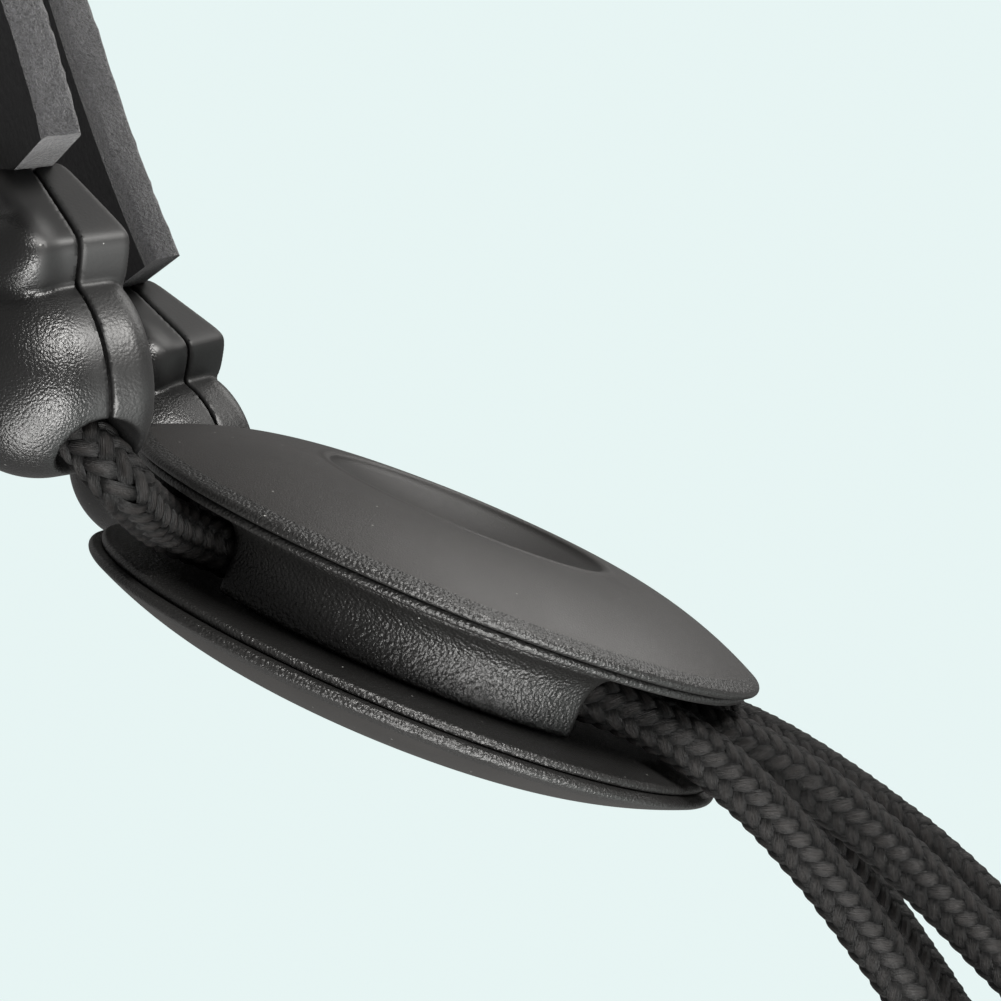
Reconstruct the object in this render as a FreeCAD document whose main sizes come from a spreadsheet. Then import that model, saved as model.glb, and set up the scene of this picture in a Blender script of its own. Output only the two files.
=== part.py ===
import FreeCAD, Part
import Sketcher
import math
import os

# Neck strap for a wind instrument: a leather neck band whose two tails end in moulded cord
# clamps, a round slider on one braided cord, and a swivel hook that the cord carries.
# It hangs as worn: +Z up, -Y to the front, +X to the wearer's left.  The origin is on the
# underside of the neck pad, at the back of the neck.  Millimetres throughout.

doc = FreeCAD.newDocument("NeckStrap")
vector = FreeCAD.Vector

SIZES = [
    # slider
    ("slider_forward", 124, "slider centre in front of the neck rest"),
    ("slider_drop", 200, "slider centre below the neck rest"),
    ("slider_lean", 57.6, "degrees the slider's cord direction dips below level"),
    ("disc_radius", 28, "slider over its rims"),
    ("channel_height", 6, "gap between the two plates, round the channels"),
    ("plate_thickness", 1.3, "guide plate and cover plate"),
    ("plate_inset", 0.7, "plate edge inside the cap's edge"),
    ("rim_flare", 0.7, "how far each rim opens from the plates"),
    ("cap_edge", 0.8, "cap thickness at its edge"),
    ("cap_wall", 1.8, "cap thickness over the hollow"),
    ("cap_dome", 37, "radius of the cap's dome section"),
    ("cap_hollow", 25.4, "outside radius of the hollow in the cap"),
    ("cap_boss", 5, "boss under the recess, seated on the plate"),
    ("crest_round", 0.6, "rounding at the recess crest"),
    ("cap_crest", 9.0, "crest of the cap above the middle plane"),
    ("recess_radius", 12.6, "finger recess, to its crest"),
    ("recess_depth", 2.6, "finger recess below the crest"),
    ("wall_radius", 21.5, "outside of the curved side walls"),
    ("wall_front", 14.3, "side walls towards the hook"),
    ("wall_back", 15.6, "side walls towards the clamps"),
    ("wall_cove", 1.8, "cove where the side walls meet the guide plate"),
    ("outer_channel", 11.5, "outer cord channels off the middle"),
    ("inner_channel", 4.75, "inner cord channels off the middle"),
    ("channel_play", 0.3, "cord to channel, each side"),
    ("loop_centre", -6, "centre of the cord's turn, towards the hook"),
    ("rib_setback", 1.0, "ribs end inside the side walls"),
    ("screw_offset", 17.8, "side cover screws off the middle"),
    ("middle_screw", 8, "middle cover screw, towards the hook"),
    ("screw_length", 6, "cover screw shank"),
    ("screw_head", 0.9, "cover screw head thickness"),
    ("screw_radius", 1.1, "cover screws"),
    ("screw_head_radius", 1.9, "cover screw heads"),
    # cord
    ("cord_diameter", 4.5, "braided cord"),
    # clamps
    ("clamp_offset", 23.2, "clamp middle off the strap's middle"),
    ("clamp_back", -8.9, "clamp bottom behind the slider's centre"),
    ("clamp_rise", 24.7, "clamp bottom above the slider's centre"),
    ("clamp_stagger", 1.8, "band slid round the neck: one clamp up, one down"),
    ("clamp_turn", 26, "degrees each clamp faces outward"),
    ("clamp_lean", 17, "degrees each clamp leans back"),
    ("clamp_roll", 10, "degrees each clamp spreads"),
    ("clamp_top", 20.6, "clamp's top edge above the cord hole"),
    ("lobe_radius", 7.7, "round lobe of the clamp outline"),
    ("lobe_rise", 6.2, "lobe centre above the cord hole"),
    ("waist_half", 5.2, "half width at the waist"),
    ("shoulder_half", 8.8, "half width at the shoulder"),
    ("shoulder_rise", 14.2, "shoulder above the cord hole"),
    ("neck_half", 4.6, "half width at the top"),
    ("front_side", 3.3, "front shell's straight side, from the seam"),
    ("back_side", 3.4, "back shell's thickness"),
    ("seam_gap", 0.3, "shadow gap at the seam"),
    ("bead_radius", 7.7, "round bead on the lobe"),
    ("dome_rise", 4.4, "shoulder dome's half height"),
    ("shoulder_round", 1.6, "rounding at the shoulders"),
    ("edge_round", 0.8, "rounding of the outer edges"),
    ("dome_height", 3.4, "shoulder dome in front of the side"),
    ("hole_forward", 2.0, "cord hole in front of the seam"),
    ("mouth_flare", 0.8, "cord hole's flare at its mouth"),
    ("hole_play", 0.2, "cord to hole"),
    ("knot_forward", 3.0, "knot's middle in front of the seam"),
    ("knot_radius", 3.7, "end knot"),
    # neck band
    ("leather", 3.2, "band thickness"),
    ("tail_width", 20, "band at the clamps"),
    ("neck_width", 42, "band at the back of the neck"),
    ("collar_half", 70, "band middle line, half width at the sides"),
    ("collar_depth", 62, "side points in front of the back of the neck"),
    ("collar_rise", 32, "back of the neck above the side points"),
    ("tail_gap", 0.4, "band's shoulders above the clamp"),
    ("tail_pull", 62, "how far a tail keeps the clamp's direction"),
    ("side_pull", 48, "how far the sides keep the collar's direction"),
    ("tongue_half", 3.4, "half width of the tongue in the clamp"),
    ("tongue_depth", 7, "tongue into the clamp"),
    ("tongue_play", 0.15, "tongue to clamp"),
    ("peg_radius", 1.5, "peg through the tongue"),
    ("pad_first_step", 3, "step along the band where the pad starts"),
    ("pad_thickness", 4, "pad under the band"),
    ("pad_inset", 4, "pad edge inside the band's edge"),
    ("pad_gap", 0.3, "glue line between band and pad"),
    # hook
    ("eye_behind", 20.3, "cord eye behind the slider's centre"),
    ("eye_below", 92, "cord bar below the slider's centre"),
    ("bar_radius", 2.5, "cord bar"),
    ("bar_play", 0.15, "cord to bar"),
    ("eye_half", 14, "inside half width of the cord eye"),
    ("cheek", 3, "cord eye's cheeks"),
    ("eye_depth", 9, "cord eye front to back"),
    ("eye_base_drop", 9, "top of the eye's base below the bar"),
    ("eye_base", 5, "eye's base thickness"),
    ("pin_radius", 1.6, "swivel pin"),
    ("pin_head_radius", 3.2, "swivel pin head"),
    ("pin_head", 1.4, "swivel pin head thickness"),
    ("pin_play", 0.08, "swivel pin in the eye"),
    ("washer", 0.8, "swivel washer"),
    ("hook_wire", 4.6, "hook section diameter"),
    ("hook_half", 8.0, "hook middle line, half width"),
    ("hook_drop", 27, "hook's bend centre below its head"),
    ("hook_head", 7, "hook head's height"),
    ("hook_head_radius", 4.6, "hook head"),
    ("gate_rise", 17, "gate pivot above the bend's centre"),
    ("gate_thickness", 2.6, "gate bar"),
    ("gate_width", 3.4, "gate bar across the hook"),
    ("spring_wire", 1.0, "width of the gate spring's coil"),
    ("knuckle", 2.9, "gate knuckle radius"),
    ("gate_pin_radius", 0.9, "gate pivot pin"),
]
sheet = doc.addObject("Spreadsheet::Sheet", "Sizes")
for row, (alias, number, words) in enumerate(SIZES, 1):
    sheet.set("A%d" % row, words)
    sheet.set("B%d" % row, str(number))
    sheet.setAlias("B%d" % row, alias)
doc.recompute()


class Size:
    """A length from the sheet: its number now, and the expression that binds a feature to it."""

    def __init__(self, number, text):
        self.number = float(number)
        self.text = text

    @staticmethod
    def of(other):
        return other if isinstance(other, Size) else Size(other, repr(float(other)))

    def joined(self, other, sign, number):
        return Size(number, "(%s %s %s)" % (self.text, sign, other.text))

    def __add__(self, other):
        other = Size.of(other)
        return self.joined(other, "+", self.number + other.number)

    def __sub__(self, other):
        other = Size.of(other)
        return self.joined(other, "-", self.number - other.number)

    def __mul__(self, other):
        other = Size.of(other)
        return self.joined(other, "*", self.number * other.number)

    def __truediv__(self, other):
        other = Size.of(other)
        return self.joined(other, "/", self.number / other.number)

    def __neg__(self):
        return self * -1

    def root(self):
        return Size(math.sqrt(self.number), "sqrt(%s)" % self.text)

    def __float__(self):
        return self.number


def size(alias):
    return Size(sheet.get(alias), "Sizes." + alias)


def number(alias):
    return float(sheet.get(alias))


# ---------------------------------------------------------------- shared helpers

def new_body(name):
    body = doc.addObject("PartDesign::Body", name)
    body.Label = name
    return body


def sketch_on(body, role, name):
    sketch = body.newObject("Sketcher::SketchObject", name)
    plane = [feature for feature in body.Origin.OriginFeatures if feature.Role == role][0]
    sketch.AttachmentSupport = [(plane, "")]
    sketch.MapMode = "FlatFace"
    return sketch


def pin_point(sketch, geometry, point, across, up):
    """Hold one point of a sketch at a place worked out from the sheet."""
    for kind, axis, length in (("DistanceX", -2, across), ("DistanceY", -1, up)):
        length = Size.of(length)
        if abs(length.number) < 1e-9:
            sketch.addConstraint(Sketcher.Constraint("PointOnObject", geometry, point, axis))
            continue
        index = sketch.addConstraint(
            Sketcher.Constraint(kind, -1, 1, geometry, point, length.number))
        sketch.setExpression("Constraints[%d]" % index, length.text)


def arc_through(start, end, radius):
    """Arc between two corners; a positive radius turns left, a negative one turns right."""
    chord = end - start
    half = chord.Length / 2
    rise = math.sqrt(max(radius * radius - half * half, 0))
    left = vector(-chord.y, chord.x, 0).normalize()
    side = 1 if radius > 0 else -1
    centre = (start + end) * 0.5 + left * (rise * side)
    begin = math.atan2(start.y - centre.y, start.x - centre.x)
    finish = math.atan2(end.y - centre.y, end.x - centre.x)
    circle = Part.Circle(centre, vector(0, 0, 1), abs(radius))
    return Part.ArcOfCircle(circle, *((begin, finish) if side > 0 else (finish, begin)))


def outline(sketch, corners):
    """Closed outline. A corner is (across, up), or (across, up, radius) where an arc leads to it."""
    places = [vector(float(corner[0]), float(corner[1]), 0) for corner in corners]
    first = sketch.GeometryCount
    starts = []
    for index, corner in enumerate(corners):
        start, end = places[index - 1], places[index]
        if len(corner) > 2:
            radius = Size.of(corner[2])
            geometry = sketch.addGeometry(arc_through(start, end, radius.number), False)
            hold = sketch.addConstraint(
                Sketcher.Constraint("Radius", geometry, abs(radius.number)))
            sketch.setExpression("Constraints[%d]" % hold, "abs(%s)" % radius.text)
            starts.append((1, 2) if radius.number > 0 else (2, 1))
        else:
            sketch.addGeometry(Part.LineSegment(start, end), False)
            starts.append((1, 2))
    count = len(corners)
    for index, corner in enumerate(corners):
        geometry, end = first + index, starts[index][1]
        following = (index + 1) % count
        sketch.addConstraint(Sketcher.Constraint(
            "Coincident", geometry, end, first + following, starts[following][0]))
        pin_point(sketch, geometry, end, corner[0], corner[1])


def bind(feature, **expressions):
    """Tie a feature's properties to the sheet."""
    for name, length in expressions.items():
        length = Size.of(length)
        setattr(feature, name, length.number)
        feature.setExpression(name, length.text)


def bind_place(feature, across=0, back=0, up=0, rotation=None):
    """Tie a feature's position to the sheet."""
    places = [Size.of(length) for length in (across, back, up)]
    feature.Placement = FreeCAD.Placement(
        vector(*[length.number for length in places]), rotation or FreeCAD.Rotation())
    for axis, length in zip("xyz", places):
        feature.setExpression("Placement.Base." + axis, length.text)


def pad(body, sketch, name, length, reverse=False, symmetric=False):
    feature = body.newObject("PartDesign::Pad", name)
    feature.Profile = sketch
    bind(feature, Length=length)
    feature.Reversed = reverse
    if symmetric:
        feature.SideType = "Symmetric"
    return feature


def revolve(body, sketch, name):
    feature = body.newObject("PartDesign::Revolution", name)
    feature.Profile = sketch
    feature.ReferenceAxis = (sketch, ["V_Axis"])
    feature.Angle = 360
    return feature


def shaped(body, kind, name, place, rotation=None, **sizes):
    """A primitive added to a body or cut from it, such as AdditiveSphere."""
    feature = body.newObject("PartDesign::" + kind, name)
    bind(feature, **sizes)
    bind_place(feature, *place, rotation=rotation)
    return feature


def rounded(body, name, radius, test):
    """Round the edges of a body's last feature whose middle passes the test."""
    doc.recompute()
    base = body.Tip
    names = []
    for index, edge in enumerate(base.Shape.Edges, 1):
        if test(edge, edge.CenterOfMass):
            names.append("Edge%d" % index)
    feature = body.newObject("PartDesign::Fillet", name)
    feature.Base = (base, names)
    bind(feature, Radius=radius)
    body.Tip = feature
    return feature


def plain(name, shape):
    """A sub-part whose shape is worked out below from the sheet."""
    feature = doc.addObject("Part::Feature", name)
    feature.Label = name
    feature.Shape = shape.removeSplitter() if shape.ShapeType != "Compound" else shape
    return feature


# ---------------------------------------------------------------- slider

SLIDER = FreeCAD.Placement(
    vector(0, -number("slider_forward"), -number("slider_drop")),
    FreeCAD.Rotation(vector(1, 0, 0), -number("slider_lean")))
TURNED_OVER = FreeCAD.Placement(vector(0, 0, 0), FreeCAD.Rotation(vector(1, 0, 0), 180))

half_gap = size("channel_height") / 2
plate_top = half_gap + size("plate_thickness")
plate_radius = size("disc_radius") - size("plate_inset")
channel_half = size("cord_diameter") / 2 + size("channel_play")
LOOP_CENTRE = size("loop_centre")
SCREW_PLACES = [
    (size("screw_offset"), Size.of(0)), (-size("screw_offset"), Size.of(0)),
    (Size.of(0), size("middle_screw"))]


def in_slider(body, turned_over=False):
    """Bind a slider piece to the slider's place and lean, turned over for the front cap."""
    body.Placement = SLIDER if not turned_over else SLIDER * TURNED_OVER
    body.setExpression("Placement.Base.y", "-Sizes.slider_forward")
    body.setExpression("Placement.Base.z", "-Sizes.slider_drop")


def slider_cap(name, turned_over=False):
    """Dished cap: a dome section that rises to a crest round the finger recess, hollow inside."""
    body = new_body(name)
    sketch = sketch_on(body, "XZ_Plane", name + "_section")
    crest = size("cap_crest")
    recess = size("recess_radius")
    depth = size("recess_depth")
    edge_top = plate_top + size("cap_edge")
    dish = (recess * recess + depth * depth) / (depth * 2)
    hollow_floor = crest - depth - size("cap_wall")
    boss = size("cap_boss")
    boss_top = hollow_floor + boss * boss / ((dish + size("cap_wall")) * 2)
    corners = [
        (0, crest - depth),
        (recess - size("crest_round"), crest - size("crest_round") * 0.55, dish),
        (recess + size("crest_round"), crest, -size("crest_round") * 1.6),
        (size("disc_radius"), edge_top, -size("cap_dome")),
        (size("disc_radius"), plate_top + size("cap_edge") * 0.35),
        (size("disc_radius") - size("cap_edge") * 0.35, plate_top),
        (size("cap_hollow"), plate_top),
        (recess, crest - size("cap_wall"), size("cap_dome") - size("cap_wall")),
        (boss, boss_top, -(dish + size("cap_wall"))),
        (boss, plate_top),
        (0, plate_top),
    ]
    outline(sketch, corners)
    revolve(body, sketch, name + "_turned")
    in_slider(body, turned_over)
    return body


def plate_section(body, name, side):
    """Flat plate round the channels whose rim flares away from the middle plane."""
    sketch = sketch_on(body, "XZ_Plane", name + "_section")
    flare_start = size("wall_radius") + size("wall_cove") + 0.2
    corners = [
        (0, half_gap), (flare_start, half_gap),
        (plate_radius - 0.2, half_gap + size("rim_flare")),
        (plate_radius, half_gap + size("rim_flare") + 0.2),
        (plate_radius, plate_top), (0, plate_top)]
    outline(sketch, [(across, Size.of(up) * side) for across, up in corners])
    revolve(body, sketch, name + "_turned")


def guide_body():
    """Guide plate in one piece with the side walls, the U-shaped rib and the centre post."""
    body = new_body("guide_body")
    plate_section(body, "guide_plate", 1)
    sketch = sketch_on(body, "XY_Plane", "guide_walls")
    wall = size("wall_radius")
    outer_edge = size("outer_channel") + channel_half
    front, back = size("wall_front"), size("wall_back")
    front_reach = (wall * wall - front * front).root()
    back_reach = (wall * wall - back * back).root()
    for side in (1, -1):
        turn = wall * side
        outline(sketch, [
            (outer_edge * side, -back), (back_reach * side, -back),
            (front_reach * side, front, turn), (outer_edge * side, front)])
    rib_end = front - size("rib_setback")
    for outside, inside in ((size("outer_channel") - channel_half,
                             size("inner_channel") + channel_half),):
        outline(sketch, [
            (outside, rib_end), (outside, LOOP_CENTRE),
            (0, LOOP_CENTRE - outside, -outside), (-outside, LOOP_CENTRE, -outside),
            (-outside, rib_end), (-inside, rib_end), (-inside, LOOP_CENTRE),
            (0, LOOP_CENTRE - inside, inside), (inside, LOOP_CENTRE, inside), (inside, rib_end)])
    post = size("inner_channel") - channel_half
    outline(sketch, [
        (post, rib_end), (post, LOOP_CENTRE), (0, LOOP_CENTRE - post, -post),
        (-post, LOOP_CENTRE, -post), (-post, rib_end)])
    pad(body, sketch, "walls", size("channel_height"), symmetric=True)

    def cove(edge, middle):
        at_plate = abs(middle.z - half_gap.number) < 0.01 and edge.BoundBox.ZLength < 0.01
        far_out = middle.x ** 2 + middle.y ** 2 > (outer_edge.number + 0.2) ** 2
        beside = abs(middle.x) > outer_edge.number + 0.05
        inside = max(edge.BoundBox.XMax, -edge.BoundBox.XMin) < wall.number + 0.1
        return at_plate and far_out and beside and inside

    rounded(body, "wall_coves", size("wall_cove"), cove)
    for index, (across, along) in enumerate(SCREW_PLACES, 1):
        shaped(body, "SubtractiveCylinder", "screw_hole_%d" % index,
               (across, along, -half_gap), Radius=size("screw_radius") + 0.02,
               Height=size("screw_length") - size("plate_thickness") + 0.3)
    in_slider(body)
    return body


def cover_plate():
    """Lower plate that closes the channels."""
    body = new_body("cover_plate")
    plate_section(body, "cover", -1)
    for index, (across, along) in enumerate(SCREW_PLACES, 1):
        shaped(body, "SubtractiveCylinder", "cover_hole_%d" % index,
               (across, along, -plate_top - 1), Radius=size("screw_radius") + 0.1,
               Height=size("plate_thickness") + 2)
    in_slider(body)
    return body


def cover_screws():
    """Three pan-head screws that hold the cover plate to the guide body."""
    solids = []
    for across, along in SCREW_PLACES:
        foot = vector(across.number, along.number, -plate_top.number)
        shank = Part.makeCylinder(number("screw_radius"), number("screw_length"), foot)
        head = Part.makeCylinder(
            number("screw_head_radius"), number("screw_head"), foot, vector(0, 0, -1))
        solids.append(shank.fuse(head).removeSplitter())
    screws = plain("cover_screws", Part.makeCompound(solids))
    screws.Placement = SLIDER
    return screws


# ---------------------------------------------------------------- clamps

def clamp_place(side):
    """Where a clamp hangs: its own x runs across its face, y to the back, z up its seam."""
    turn = FreeCAD.Rotation(vector(0, 0, 1), side * number("clamp_turn"))
    lean = FreeCAD.Rotation(vector(1, 0, 0), -number("clamp_lean"))
    roll = FreeCAD.Rotation(vector(0, 1, 0), side * number("clamp_roll"))
    rotation = turn.multiply(lean).multiply(roll)
    up = rotation.multVec(vector(0, 0, 1))
    base = SLIDER.Base + vector(
        side * number("clamp_offset"), number("clamp_back"), number("clamp_rise"))
    return FreeCAD.Placement(base + up * (side * number("clamp_stagger")), rotation)


def clamp_outline(sketch):
    """Front view of a clamp: narrow top, sloped shoulders, waist and round lobe."""
    top, neck = size("clamp_top"), size("neck_half")
    shoulder, shoulder_rise = size("shoulder_half"), size("shoulder_rise")
    waist, lobe, rise = size("waist_half"), size("lobe_radius"), size("lobe_rise")
    waist_rise = rise + (lobe * lobe - waist * waist).root()
    outline(sketch, [
        (-neck, top), (neck, top), (shoulder, shoulder_rise), (waist, waist_rise),
        (0, rise - lobe, -lobe), (-waist, waist_rise, -lobe), (-shoulder, shoulder_rise)])


def clamp_hollows(body, name):
    """Room for the end knot, the cord and the leather tongue."""
    forward = size("hole_forward")
    tongue_room = size("leather") / 2 + size("tongue_play")
    tongue_side = size("tongue_half") + size("tongue_play")
    depth = size("tongue_depth") + size("tongue_play")
    shaped(body, "SubtractiveSphere", name + "_knot_room",
           (0, -size("knot_forward"), size("lobe_rise")), Radius=size("knot_radius") + 0.3)
    shaped(body, "SubtractiveCylinder", name + "_cord_hole",
           (0, -forward, size("lobe_rise") - size("lobe_radius") - 8),
           Radius=size("cord_diameter") / 2 + size("hole_play"),
           Height=size("lobe_radius") + 8)
    shaped(body, "SubtractiveCone", name + "_hole_mouth",
           (0, -forward, size("lobe_rise") - size("lobe_radius") - 1),
           Radius1=size("cord_diameter") / 2 + size("mouth_flare") + 0.4,
           Radius2=size("cord_diameter") / 2 + size("hole_play"), Height=4)
    shaped(body, "SubtractiveBox", name + "_mouth",
           (-tongue_side, -tongue_room, size("clamp_top") - depth),
           Length=tongue_side * 2, Width=tongue_room * 2, Height=depth + 2)


def shoulder_edges(edge, middle):
    return (edge.BoundBox.XLength < 0.01 and edge.BoundBox.ZLength < 0.01
            and abs(abs(middle.x) - number("shoulder_half")) < 0.01)


def clamp_front(name, place):
    """Front shell: straight side at the seam, a domed shoulder and a round bead over the lobe."""
    body = new_body(name)
    sketch = sketch_on(body, "XZ_Plane", name + "_outline")
    clamp_outline(sketch)
    side = size("front_side")
    pad(body, sketch, name + "_side", side)
    rounded(body, name + "_shoulders", size("shoulder_round"), shoulder_edges)
    rounded(body, name + "_front_edge", size("edge_round"),
            lambda edge, middle: abs(edge.BoundBox.YMax + side.number) < 0.01)
    shaped(body, "AdditiveEllipsoid", name + "_dome",
           (0, -side, size("shoulder_rise") + 0.4), Radius1=size("dome_rise"),
           Radius2=size("shoulder_half") - 0.7, Radius3=size("dome_height"))
    shaped(body, "AdditiveSphere", name + "_bead",
           (0, -side - 0.2, size("lobe_rise")), Radius=size("bead_radius"))
    span = size("shoulder_half") * 4
    shaped(body, "SubtractiveBox", name + "_seam_cut",
           (-span / 2, 0, -span), Length=span, Width=span, Height=span * 2)
    clamp_hollows(body, name)
    shaped(body, "SubtractiveCylinder", name + "_peg_socket",
           (0, 0, size("clamp_top") - size("tongue_depth") / 2),
           rotation=FreeCAD.Rotation(vector(1, 0, 0), 90),
           Radius=size("peg_radius") + 0.05, Height=size("leather") / 2 + 1.6)
    body.Placement = place
    return body


def clamp_back(name, place):
    """Back shell: flat, with the peg that goes through the leather tongue."""
    body = new_body(name)
    sketch = sketch_on(body, "XZ_Plane", name + "_outline")
    clamp_outline(sketch)
    thick = size("back_side")
    pad(body, sketch, name + "_side", thick, reverse=True)
    rounded(body, name + "_shoulders", size("shoulder_round"), shoulder_edges)
    rounded(body, name + "_back_edge", size("edge_round"),
            lambda edge, middle: abs(edge.BoundBox.YMin - thick.number) < 0.01)
    clamp_hollows(body, name)
    shaped(body, "AdditiveCylinder", name + "_peg",
           (0, thick - 0.8, size("clamp_top") - size("tongue_depth") / 2),
           rotation=FreeCAD.Rotation(vector(1, 0, 0), 90),
           Radius=size("peg_radius"), Height=thick - 0.8 + size("leather") / 2 + 1.4)
    body.Placement = place
    return body


def end_knot(name, place):
    """Round stopper knot in the lobe of a clamp."""
    middle = vector(0, -number("knot_forward"), number("lobe_rise"))
    knot = plain(name, Part.makeSphere(number("knot_radius"), middle))
    knot.Placement = place
    return knot


# ---------------------------------------------------------------- neck band

BACK_FACE = vector(0, 0.77, 0.64).normalize()
SIDE_FACE = vector(0.60, -0.05, 0.80).normalize()


def collar_middle():
    """Middle of the band at the back of the neck, above the neck rest."""
    above = number("leather") / 2 + number("pad_gap") + number("pad_thickness")
    return BACK_FACE * above


def band_section(side, along):
    """Middle, way along, face direction and width of the band: 0 at a clamp, 1 beside the neck, 2 behind it."""
    place = clamp_place(side)
    back = collar_middle()
    half, depth, rise = number("collar_half"), number("collar_depth"), number("collar_rise")
    mirror = vector(side, 1, 1)
    if along <= 1:
        start = place.multVec(vector(0, 0, number("clamp_top") + number("tail_gap")))
        up = place.Rotation.multVec(vector(0, 0, 1))
        front = place.Rotation.multVec(vector(0, -1, 0))
        finish = back + vector(side * half, -depth, -rise)
        uphill = vector(0, depth, rise).normalize()
        grips = [start, start + up * number("tail_pull"),
                 finish - uphill * number("side_pull"), finish]
        shares = [(1 - along) ** 3, 3 * along * (1 - along) ** 2,
                  3 * along ** 2 * (1 - along), along ** 3]
        middle = vector(0, 0, 0)
        for grip, share in zip(grips, shares):
            middle += grip * share
        way = ((grips[1] - grips[0]) * (1 - along) ** 2
               + (grips[2] - grips[1]) * (2 * along * (1 - along))
               + (grips[3] - grips[2]) * along ** 2)
        side_face = vector(SIDE_FACE.x * side, SIDE_FACE.y, SIDE_FACE.z)
        face = front * (1 - along) + side_face * along
    else:
        angle = (along - 1) * math.pi / 2
        middle = back + vector(side * half * math.cos(angle),
                               -depth * (1 - math.sin(angle)), -rise * (1 - math.sin(angle)))
        way = vector(-side * half * math.sin(angle), depth * math.cos(angle),
                     rise * math.cos(angle))
        face = SIDE_FACE * math.cos(angle) + BACK_FACE * math.sin(angle)
        face = vector(face.x * mirror.x, face.y, face.z)
    swell = min(along / 1.1, 1)
    swell = swell * swell * (3 - 2 * swell)
    width = number("tail_width") + (number("neck_width") - number("tail_width")) * swell
    return middle, way.normalize(), face.normalize(), width


def band_corners(side, along, rise, thickness, narrower):
    """Four corners of a slab across the band, its middle `rise` off the band's own middle."""
    middle, way, face, width = band_section(side, along)
    across = way.cross(face).normalize() * side
    face = (across * side).cross(way).normalize()
    middle = middle + face * rise
    half = width / 2 - narrower
    return [middle + across * (half * a) + face * (thickness / 2 * b)
            for a, b in ((-1, -1), (1, -1), (1, 1), (-1, 1))]


BAND_STEPS = 10


def band_slab(first, rise, thickness, narrower):
    """Slab that follows the band from step `first` on one side, round the neck, to the other."""
    steps = [2 * index / BAND_STEPS for index in range(BAND_STEPS + 1)]
    rows = [band_corners(1, along, rise, thickness, narrower) for along in steps]
    rows += [band_corners(-1, along, rise, thickness, narrower) for along in steps[-2::-1]]
    places = [float(index) for index in range(len(rows))]
    edges = []
    for corner in range(4):
        curve = Part.BSplineCurve()
        curve.interpolate(Points=[row[corner] for row in rows], Parameters=places)
        curve.segment(places[first], places[-1 - first])
        edges.append(curve.toShape())
    faces = [Part.makeRuledSurface(edges[corner - 1], edges[corner]) for corner in range(4)]
    for end in (0, 1):
        row = [edge.Vertexes[end].Point for edge in edges]
        faces.append(Part.Face(Part.makePolygon(row + row[:1])))
    shell = Part.makeShell(faces)
    shell.sewShape()
    solid = Part.makeSolid(shell)
    if solid.Volume < 0:
        solid.reverse()
    return solid


def neck_band():
    """Leather band with a tongue at each end, held by the clamp's peg."""
    shape = band_slab(0, 0, number("leather"), 0)
    half, top = number("tongue_half"), number("clamp_top")
    depth, thick = number("tongue_depth"), number("leather")
    for side in (1, -1):
        tongue = Part.makeBox(2 * half, thick, depth + number("tail_gap"),
                              vector(-half, -thick / 2, top - depth))
        hole = Part.makeCylinder(number("peg_radius") + 0.1, thick + 2,
                                 vector(0, -thick / 2 - 1, top - depth / 2), vector(0, 1, 0))
        tongue = tongue.cut(hole)
        tongue.Placement = clamp_place(side)
        shape = shape.fuse(tongue)
    return plain("neck_band", shape)


def neck_pad():
    """Soft pad glued under the band round the neck."""
    rise = -(number("leather") + number("pad_thickness")) / 2 - number("pad_gap")
    return plain("neck_pad", band_slab(
        int(number("pad_first_step")), rise, number("pad_thickness"), number("pad_inset")))


# ---------------------------------------------------------------- cord

def tube(points, radii=None):
    """Round tube of straight runs joined by tangent arcs; `radii` gives an arc its own size."""
    radii = radii or {}
    edges, here = [], points[0]
    length, tightest = 0, 1e9
    for index in range(1, len(points) - 1):
        before, corner, after = points[index - 1], points[index], points[index + 1]
        inward, outward = corner - before, after - corner
        half_turn = inward.getAngle(outward) / 2
        shorter = min(inward.Length, outward.Length)
        radius = radii.get(index, 0.45 * shorter / math.tan(half_turn))
        reach = radius * math.tan(half_turn)
        start = corner - inward.normalize() * reach
        end = corner + outward.normalize() * reach
        bulge = (start + end - corner * 2).normalize()
        centre = corner + bulge * (radius / math.cos(half_turn))
        middle = centre - bulge * radius
        if (start - here).Length > 1e-6:
            edges.append(Part.LineSegment(here, start).toShape())
        edges.append(Part.Arc(start, middle, end).toShape())
        here, tightest = end, min(tightest, radius)
    edges.append(Part.LineSegment(here, points[-1]).toShape())
    path = Part.Wire(edges)
    radius = number("cord_diameter") / 2
    section = Part.Wire(Part.makeCircle(radius, points[0], points[1] - points[0]))
    solid = path.makePipe(Part.Face(section))
    share = solid.Volume / (path.Length * math.pi * radius ** 2)
    print("cord %.1f long, tightest %.1f, volume share %.4f" % (path.Length, tightest, share))
    return solid


def on_slider(across, along, up):
    return SLIDER.multVec(vector(across, along, up))


def hung(across, back, up):
    """A place given from the slider's centre in the strap's own directions."""
    return SLIDER.Base + vector(across, back, up)


# How each upper cord comes from its clamp into its channel, in the slider's directions.
UPPER_ROUTES = {
    1: [(20.4, -25.6, 1.5), (15.3, -22.6, 0.8), (11.6, -17.2, 0.3), (11.5, -9, 0)],
    -1: [(-20.0, -23.4, -1.0), (-15.2, -22.0, -0.7), (-11.6, -17.0, -0.1), (-11.5, -9, 0)],
}
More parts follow.
